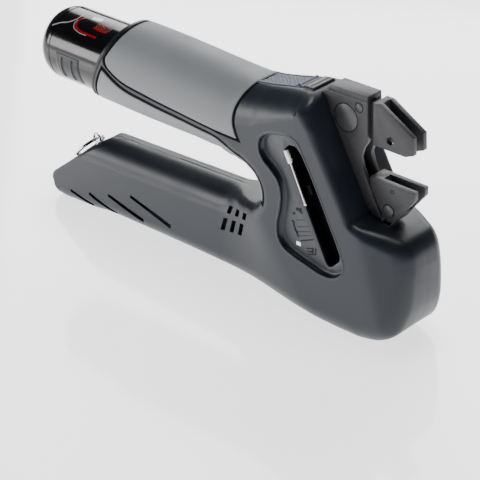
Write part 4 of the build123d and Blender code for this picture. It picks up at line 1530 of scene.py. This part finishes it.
# ---------------------------------------------------------------------------
# head
# ---------------------------------------------------------------------------
@dataclass
class Head:
    """Steel head: CAD shapes with ground edges, flush pins and their dark joints."""

    edge: float = 0.35
    half: float = 6.0
    bolt: tuple[float, float] = (95.5, 130.7)
    lock: tuple[float, float] = (105.0, 139.7)
    pin: tuple[float, float] = (127.0, 82.5)
    stud: tuple[float, float] = (129.5, 95.4)
    joint_width: float = 0.42
    chamfer: tuple[float, float] = (0.2, 0.3)
    steel: tuple = (("head_plate_near", "tool"), ("head_plate_far", "tool"), ("head_core", "tool"),
                    ("upper_jaw", "tool"), ("lower_jaw", "ram"))

    def ground(self, source: bpy.types.Object, name: str) -> bpy.types.Object:
        """Copy of a CAD shape whose flat faces are whole and whose edges are rounded.

        Args:
            source: The CAD node, left as it is.
            name: Name of the copy.

        Returns:
            The new object.
        """
        mesh = source.data.copy()
        mesh.name = name
        work = bmesh.new()
        work.from_mesh(mesh)
        bmesh.ops.remove_doubles(work, verts=work.verts, dist=2 * MERGE)
        bmesh.ops.dissolve_limit(work, angle_limit=math.radians(1.0), verts=work.verts,
                                 edges=work.edges)
        work.to_mesh(mesh)
        work.free()
        mesh.materials.clear()
        piece = link(name, mesh, 30.0)
        soften(piece, self.edge, 40.0)
        return piece

    def circle(self, name: str, place: tuple[float, float], radius: float,
               face: float) -> bpy.types.Object:
        """Thin flat ring on a face, drawn round a place of the side view.

        Args:
            name: Name of the piece.
            place: Its middle in the side view.
            radius: Inner radius.
            face: The y of the face.

        Returns:
            The new object.
        """
        turn = np.linspace(0, 2 * np.pi, 64, endpoint=False)
        outer = radius + self.joint_width
        loops = []
        for reach, y in ((radius, face), (outer, face), (outer, face * 0.9), (radius, face * 0.9)):
            loops.append(np.stack([place[0] + reach * np.cos(turn), np.full(64, y),
                                   place[1] + reach * np.sin(turn)], 1))
        return ring_object(name, np.stack(loops), 30.0)

    def build(self, shop: Workshop, nodes: dict[str, bpy.types.Object]) -> None:
        """Make and dress the head's pieces.

        Args:
            shop: Dresses the pieces.
            nodes: The CAD nodes by name.
        """
        for node, body in self.steel:
            piece = self.ground(nodes[node], f"{node}_ground")
            shop.dress(piece, Paint.HEAD, body, "head_steel", node)
        face = self.half + 0.12
        deep, slim = self.chamfer
        for name, place, radius, body, node in (("bolt_flush", self.bolt, 8.2, "tool", "main_bolt"),
                                                ("lock_flush", self.lock, 2.0, "tool", "lock_pin"),
                                                ("jaw_pin_flush", self.pin, 3.2, "ram", "jaw_pin")):
            profile = [(-face, radius - slim), (-face + deep, radius),
                       (face - deep, radius), (face, radius - slim)]
            disc = turned(name, profile, (place[0], 0.0, place[1]))
            shop.dress(disc, Paint.BOLT, body, "bolt_steel", node)
        for side in Side:
            level = side.value * (self.half + 0.05)
            end = side.name.lower()
            for name, place, radius, body in (("lock_joint", self.lock, 2.7, "tool"),
                                              ("jaw_pin_joint", self.pin, 3.7, "ram"),
                                              ("bolt_joint", self.bolt, 8.35, "tool"),
                                              ("stud_joint", self.stud, 0.9, "ram")):
                ring = self.circle(f"{name}_{end}", place, radius, level)
                shop.dress(ring, Paint.SEAM, body, "black_trim")


# ---------------------------------------------------------------------------
# battery
# ---------------------------------------------------------------------------
@dataclass
class Battery:
    """Round battery pack with a domed end, two latch pads and a plain printed band."""

    rear: float = -147.6
    dome: float = 12.5
    radius: float = 23.5
    axis_z: float = 108.0
    lean: float = 0.45
    front: float = -84.0
    end_seam: tuple[float, float] = (-134.4, -133.3)
    seam_depth: float = 0.35
    around: int = 128
    latch_x: tuple[float, float] = (-127.5, -106.5)
    latch_z: tuple[float, float] = (94.0, 112.0)
    latch_ribs: tuple[float, float] = (-122.6, -113.6)
    latch_size: float = 18.0
    chevron: tuple = ((-99.0, 51.4), (-106.1, 51.6), (-113.7, 52.7), (-118.6, 57.0),
                      (-120.6, 64.0), (-120.4, 72.0), (-117.0, 80.0))

    def place(self, x: np.ndarray, angle: np.ndarray, radius: np.ndarray) -> np.ndarray:
        """Points round the pack's axis.

        Args:
            x: Places along the tool.
            angle: Angles up from the near side's horizontal.
            radius: Distances from the axis.

        Returns:
            Array with x, y and z last.
        """
        return np.stack([x, -radius * np.cos(angle), self.axis_z + radius * np.sin(angle)], -1)

    def case(self) -> bpy.types.Object:
        """Case as one turned surface: dome, end seam, straight body sheared at its front.

        The dome is a quarter of an ellipse.

        Returns:
            The new object.
        """
        turn = np.linspace(0.0, np.pi / 2, 14)
        xs = self.rear + self.dome * (1.0 - np.cos(turn))
        rs = self.radius - self.dome * 0.95 * (1.0 - np.sin(turn))
        flat = [(self.rear + 0.35, 0.4), (self.rear + 0.12, 8.0)]
        low, high = self.end_seam
        bottom = self.radius - self.seam_depth
        seam = [(low, self.radius), (low + 0.3, bottom), (high - 0.3, bottom), (high, self.radius)]
        body = [(x, self.radius) for x in np.linspace(high + 2.3, self.front, 14)]
        profile = np.array(flat + list(zip(xs, rs)) + seam + body)
        angle = np.linspace(0, 2 * np.pi, self.around, endpoint=False)
        x = profile[:, :1] * np.ones((1, self.around))
        r = profile[:, 1:] * np.ones((1, self.around))
        shear = smooth(x, high + 0.3, self.front)
        points = self.place(x, angle[None, :] * np.ones_like(x), r)
        points[..., 0] += self.lean * (points[..., 2] - self.axis_z) * shear
        return tube_object("battery_shell", points, 40.0)

    def sheet(self, name: str, x: np.ndarray, angle: np.ndarray, rise: np.ndarray,
              side: Side = Side.NEAR) -> bpy.types.Object:
        """Closed thin sheet on the case: rise above it at each place, and 0.4 mm into it.

        Args:
            name: Name of the piece.
            x: Grid of x.
            angle: Grid of angles.
            rise: Grid of heights above the case.
            side: Side that the piece is made for.

        Returns:
            The new object.
        """
        top = self.place(x, angle, self.radius + rise)
        low = self.place(x, angle, np.full_like(x, self.radius - 0.4))
        return slab(name, top, low, side=side)

    def band(self, name: str, line: Sequence[tuple[float, float]], width: float,
             rise: float = 0.06) -> bpy.types.Object:
        """Printed line on the case.

        Args:
            name: Name of the piece.
            line: Places of x and angle in degrees that it runs through.
            width: Width of the line.
            rise: Height above the case.

        Returns:
            The new object.
        """
        curve = SideCurve([(x, math.radians(a) * self.radius) for x, a in line])
        path = curve.table(60)
        tangent = unit(np.gradient(path, axis=0))
        normal = np.stack([-tangent[:, 1], tangent[:, 0]], 1)
        across = np.linspace(-0.5, 0.5, 4) * width
        grid = path[:, None, :] + normal[:, None, :] * across[None, :, None]
        return self.sheet(name, grid[..., 0], grid[..., 1] / self.radius,
                          np.full(grid.shape[:2], rise))

    def latch(self, side: Side) -> bpy.types.Object:
        """Latch pad on the case: a low cushion with two curved finger ribs.

        Its height is a rounded plateau plus two narrow bell curves whose place along X bows
        with the angle.

        Args:
            side: Side of the pack.

        Returns:
            The new object.
        """
        x, angle = np.meshgrid(np.linspace(*self.latch_x, 90),
                               np.arcsin((np.linspace(*self.latch_z, 48) - self.axis_z) / 24.2),
                               indexing="ij")
        u = (x - self.latch_x[0]) / (self.latch_x[1] - self.latch_x[0])
        v = (angle - angle.min()) / (angle.max() - angle.min())
        edge = self.latch_size * np.minimum(np.minimum(u, 1 - u), np.minimum(v, 1 - v))
        plateau = 0.55 * np.sqrt(1.0 - (1.0 - np.clip(edge / 2.2, 0.0, 1.0)) ** 2)
        bow = 1.6 * (2 * v - 1.0) ** 2
        inside = smooth(edge, 0.8, 3.0)
        ribs = sum(np.exp(-(((x - centre - bow) / 0.75) ** 2)) for centre in self.latch_ribs)
        rise = plateau + 0.75 * ribs * inside
        return self.sheet(f"latch_pad_{side.name.lower()}", x, angle, rise, side)

    def build(self, shop: Workshop) -> None:
        """Make and dress the pack.

        Args:
            shop: Dresses the pieces.
        """
        shop.dress(self.case(), Paint.BATTERY, "battery", "battery_black", "battery_case",
                   "battery_end_cap")
        for side in Side:
            end = side.name.lower()
            shop.dress(self.latch(side), Paint.LATCH, f"latch_{end}", "black_trim",
                       f"battery_latch_{end}")
        beside = [(x - 1.2, angle - 2.6) for x, angle in self.chevron[1:-1]]
        prints = (
            ("band_red_edge", self.chevron, 1.3, Paint.ACCENT_RED),
            ("band_silver_edge", beside, 0.5, Paint.ACCENT_SILVER),
            ("band_red_field", ((-93.0, 76.0), (-100.0, 76.0), (-106.0, 73.0)), 7.0,
             Paint.ACCENT_DARK_RED),
            ("band_red_streak", ((-94.0, 66.0), (-100.0, 65.0), (-106.0, 66.5)), 1.6,
             Paint.ACCENT_RED),
            ("band_bar", ((-114.0, 84.0), (-106.5, 87.0)), 3.6, Paint.ACCENT_SILVER),
            ("band_wave", ((-137.0, 46.0), (-132.0, 54.0), (-126.0, 61.0), (-123.0, 70.0),
                           (-122.0, 82.0)), 0.8, Paint.ACCENT_SILVER),
            ("groove_red", ((-120.7, 20.6), (-109.3, 21.8), (-97.5, 23.0)), 1.2,
             Paint.ACCENT_DARK_RED),
        )
        for name, line, width, paint in prints:
            shop.dress(self.band(name, line, width), paint, "battery", "battery_accent",
                       "battery_trim")


# ---------------------------------------------------------------------------
# thumb button
# ---------------------------------------------------------------------------
@dataclass
class Button:
    """Thumb button: pebbled field in a raised border, with a stop ridge at its front."""

    x_range: tuple[float, float] = (30.1, 65.9)
    half: float = 8.9
    foot: float = 130.0
    lip_range: tuple[float, float] = (66.6, 74.6)
    lip_half: float = 9.7
    lip_height: float = 1.7
    lip_round: float = 1.6
    lip_foot: float = 139.9
    dip_x: float = 71.4
    ridge_x: float = 62.3
    ridge_height: float = 1.5
    bump_height: float = 0.16

    @staticmethod
    def block(name: str, x: np.ndarray, y: np.ndarray, z: np.ndarray,
              foot: float) -> bpy.types.Object:
        """Closed solid under a height grid.

        Args:
            name: Name of the piece.
            x: Grid of x, rows along the tool.
            y: Grid of y.
            z: Grid of heights.
            foot: Height of its flat bottom.

        Returns:
            The new piece.
        """
        return slab(name, np.stack([x, y, z], 2), np.stack([x, y, np.full_like(z, foot)], 2))

    @staticmethod
    def field(x_range: tuple[float, float], half: float,
              counts: tuple[int, int]) -> tuple[np.ndarray, np.ndarray, np.ndarray]:
        """Grid over a rectangle of the top.

        Args:
            x_range: Its ends along the tool.
            half: Half its width.
            counts: Places along and across.

        Returns:
            Grids of x, y and the distance to the nearest edge.
        """
        x, y = np.meshgrid(np.linspace(*x_range, counts[0]), np.linspace(-half, half, counts[1]),
                           indexing="ij")
        edge = np.minimum(np.minimum(x - x_range[0], x_range[1] - x), half - np.abs(y))
        return x, y, edge

    def top(self, skin: Skin, x: np.ndarray) -> np.ndarray:
        """Height of the column's top line.

        Args:
            skin: The housing's skin.
            x: Places along the tool.

        Returns:
            Heights.
        """
        line = skin.curves()[1].table(900)
        line = line[(line[:, 1] > 132.0) & (line[:, 0] < 78.0)][::-1]
        return np.interp(x, line[:, 0], line[:, 1])

    def pad(self, skin: Skin) -> bpy.types.Object:
        """The button itself.

        Its height over x and y follows the top of the column, plus a border that rises near
        the edges, a bell-shaped ridge near the front, and shallow bumps from two crossed sines.

        Args:
            skin: The housing's skin.

        Returns:
            The new object.
        """
        x, y, edge = self.field(self.x_range, self.half, (140, 64))
        level = self.top(skin, x) - 0.25
        border = smooth(edge, 0.0, 0.7) - 0.55 * smooth(edge, 1.3, 2.0)
        ridge = np.exp(-(((x - self.ridge_x) / 1.7) ** 2))
        ridge = self.ridge_height * ridge * smooth(edge, 0.0, 1.5)
        field_mask = smooth(edge, 2.0, 2.8) * (1.0 - smooth(x, 57.5, 59.5))
        wave_x = np.sin(x * 2.1 + 0.7 * np.sin(y * 1.3))
        wave_y = np.sin(y * 2.3 + 0.6 * np.sin(x * 0.9))
        bumps = self.bump_height * wave_x * wave_y
        z = level + 0.6 * border + ridge + bumps * field_mask
        return self.block("thumb_pad", x, y, np.where(edge < 0.05, level - 0.5, z), self.foot)

    def lip(self, skin: Skin) -> bpy.types.Object:
        """Raised guard between the button and the head, with a dip along its middle.

        Its edges rise on a quarter circle, and the dip is a bell curve.

        Args:
            skin: The housing's skin.

        Returns:
            The new object.
        """
        x, y, edge = self.field(self.lip_range, self.lip_half, (50, 60))
        inwards = np.clip(edge / self.lip_round, 0.0, 1.0)
        rise = self.lip_height * np.sqrt(np.clip(1.0 - (1.0 - inwards) ** 2, 0.0, 1.0))
        dip = 0.5 * np.exp(-(((x - self.dip_x) / 0.9) ** 2)) * smooth(edge, 1.0, 2.0)
        return self.block("front_lip", x, y, self.top(skin, x) - 0.3 + rise - dip, self.lip_foot)

    def build(self, shop: Workshop, skin: Skin) -> None:
        """Make and dress the button and the guard in front of it.

        Args:
            shop: Dresses the pieces.
            skin: The housing's skin.
        """
        shop.dress(self.pad(skin), Paint.BUTTON, "button", "button_blue_grey", "thumb_button")
        shop.dress(self.lip(skin), Paint.HOUSING, "tool", "charcoal_housing")


# ---------------------------------------------------------------------------
# stage
# ---------------------------------------------------------------------------
@dataclass(frozen=True)
class Stage:
    """Floor, studio lights and the camera."""

    azimuth_deg: float = 43.973
    elevation_deg: float = 29.632
    roll_deg: float = 1.569
    distance: float = 1.223
    target: tuple[float, float, float] = (0.006288, -0.001133, 0.016829)
    lens: float = 149.43
    bright_side: tuple[float, float, float] = (-0.45, 0.8, 0.15)
    wall_strength: tuple[float, float] = (0.36, 2.0)
    floor_half: float = 6000.0
    floor_glow: float = 1.7
    aim: tuple[float, float, float] = (0.0, 0.0, 0.07)
    lights: tuple = (("back", (-0.5, 0.9, 0.7), (1.2, 0.8), 18.0),
                     ("top", (0.0, 0.1, 1.3), (0.5, 0.5), 8.0),
                     ("left", (-0.9, -0.9, 0.3), (0.6, 0.4), 9.0))

    def camera(self) -> None:
        """Camera on its azimuth and elevation, rolled a little, looking at the target."""
        a, e, r = (math.radians(v) for v in (self.azimuth_deg, self.elevation_deg, self.roll_deg))
        back = Vector((math.sin(a) * math.cos(e), -math.cos(a) * math.cos(e), math.sin(e)))
        right = Vector((math.cos(a), math.sin(a), 0.0))
        up = back.cross(right)
        rolled_right = right * math.cos(r) - up * math.sin(r)
        rolled_up = right * math.sin(r) + up * math.cos(r)
        data = bpy.data.cameras.new("camera")
        data.lens = self.lens
        data.sensor_width = 36.0
        data.clip_start = 0.05
        data.clip_end = 20.0
        camera = bpy.data.objects.new("camera", data)
        turn = Matrix((rolled_right, rolled_up, back)).transposed().to_4x4()
        place = Matrix.Translation(Vector(self.target) + back * self.distance)
        camera.matrix_world = place @ turn
        bpy.context.scene.collection.objects.link(camera)
        bpy.context.scene.camera = camera

    def floor(self) -> None:
        """Pale, slightly glossy floor that shows a soft reflection of the tool."""
        corners = np.array([(-1, -1, 0), (1, -1, 0), (1, 1, 0), (-1, 1, 0)]) * self.floor_half
        floor = make_object("floor", corners, [(0, 1, 2, 3)])
        material = bpy.data.materials.new("floor_white")
        material.use_nodes = True
        shader = material.node_tree.nodes["Principled BSDF"]
        shader.inputs["Base Color"].default_value = (0.92, 0.92, 0.92, 1.0)
        shader.inputs["Roughness"].default_value = 0.1
        shader.inputs["Emission Color"].default_value = (1.0, 1.0, 1.0, 1.0)
        shader.inputs["Emission Strength"].default_value = self.floor_glow
        floor.data.materials.append(material)

    def surroundings(self) -> None:
        """Studio walls: bright behind the tool, falling off to a dim side in front of it."""
        world = bpy.data.worlds.new("studio")
        world.use_nodes = True
        nodes, links = world.node_tree.nodes, world.node_tree.links
        place = nodes.new("ShaderNodeTexCoord")
        towards = nodes.new("ShaderNodeVectorMath")
        towards.operation = "DOT_PRODUCT"
        towards.inputs[1].default_value = Vector(self.bright_side).normalized()
        links.new(place.outputs["Generated"], towards.inputs[0])
        span = nodes.new("ShaderNodeMapRange")
        span.interpolation_type = "SMOOTHSTEP"
        span.inputs["From Min"].default_value = 0.1
        span.inputs["From Max"].default_value = 0.95
        span.inputs["To Min"].default_value = self.wall_strength[0]
        span.inputs["To Max"].default_value = self.wall_strength[1]
        links.new(towards.outputs["Value"], span.inputs["Value"])
        links.new(span.outputs["Result"], nodes["Background"].inputs["Strength"])
        bpy.context.scene.world = world

    def light(self, name: str, place: tuple[float, float, float], size: tuple[float, float],
              power: float) -> None:
        """Rectangular soft light that looks at the tool.

        Args:
            name: Name of the light.
            place: Its middle in metres.
            size: Its two sides in metres.
            power: Its power in watts.
        """
        data = bpy.data.lights.new(name, "AREA")
        data.shape = "RECTANGLE"
        data.size, data.size_y = size
        data.energy = power
        lamp = bpy.data.objects.new(name, data)
        away = Vector(place) - Vector(self.aim)
        turn = away.to_track_quat("Z", "Y").to_matrix().to_4x4()
        lamp.matrix_world = Matrix.Translation(Vector(place)) @ turn
        bpy.context.scene.collection.objects.link(lamp)

    def build(self) -> None:
        """Set the stage: camera, floor, walls and lights."""
        self.camera()
        self.floor()
        self.surroundings()
        for name, place, size, power in self.lights:
            self.light(name, place, size, power)


CAD_FINISHES = {
    Paint.HEAD: ("head_plate_near", "head_plate_far", "head_core", "upper_jaw", "lower_jaw"),
    Paint.BOLT: ("main_bolt", "lock_pin", "jaw_pin"),
    Paint.STEEL: ("motor_can", "rotor", "ring_gear", "planet_carrier", "planet_gear_1",
                  "planet_gear_2", "planet_gear_3", "wedge_carriage", "carriage_rail", "ram_bar",
                  "ram_roller", "roller_pin"),
    Paint.BRONZE: ("screw_bearing", "ram_guide"),
    Paint.BRIGHT: ("lead_screw", "button_spring", "service_key"),
    Paint.BLACK: ("gearbox_case", "switch_module", "terminal_block", "board_chips", "bay_liner",
                  "key_clip", "housing_screws"),
    Paint.CELL: ("battery_cells",),
    Paint.BOARD: ("circuit_board",),
    Paint.COPPER: ("terminal_blades",),
    Paint.BATTERY: ("battery_case", "battery_end_cap"),
    Paint.LATCH: ("battery_latch_near", "battery_latch_far"),
    Paint.ACCENT_RED: ("battery_trim",),
    Paint.RIM: ("rear_collar",),
    Paint.GRIP: ("gap_liner", "grip_underside"),
    Paint.BUTTON: ("thumb_button",),
    Paint.CHROME: ("ring_eye", "key_ring"),
    Paint.PRINT: ("setting_scale",),
    Paint.LAMP: ("lamp_lens",),
    Paint.RUBBER: ("foot_pad",),
    Paint.MESH: ("vent_mesh",),
}


def paint_cad_nodes(shop: Workshop, nodes: dict[str, bpy.types.Object]) -> None:
    """Give every CAD node its finish.

    Args:
        shop: Holds the finishes.
        nodes: The CAD nodes by name.
    """
    for paint, names in CAD_FINISHES.items():
        for name in names:
            shop.paint(nodes[name], paint)


def main() -> None:
    """Load the frame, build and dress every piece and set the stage."""
    logging.basicConfig(level=logging.INFO, format="%(name)s: %(message)s")
    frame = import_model()
    shop = Workshop()
    paint_cad_nodes(shop, frame["nodes"])
    skin = Skin()
    panel = SidePanel(skin)
    Housing(skin).build(shop, panel)
    panel.build(shop)
    Grip(skin).build(shop)
    Head().build(shop, frame["nodes"])
    Battery().build(shop)
    Button().build(shop, skin)
    Stage().build()


if __name__ == "__main__":
    main()
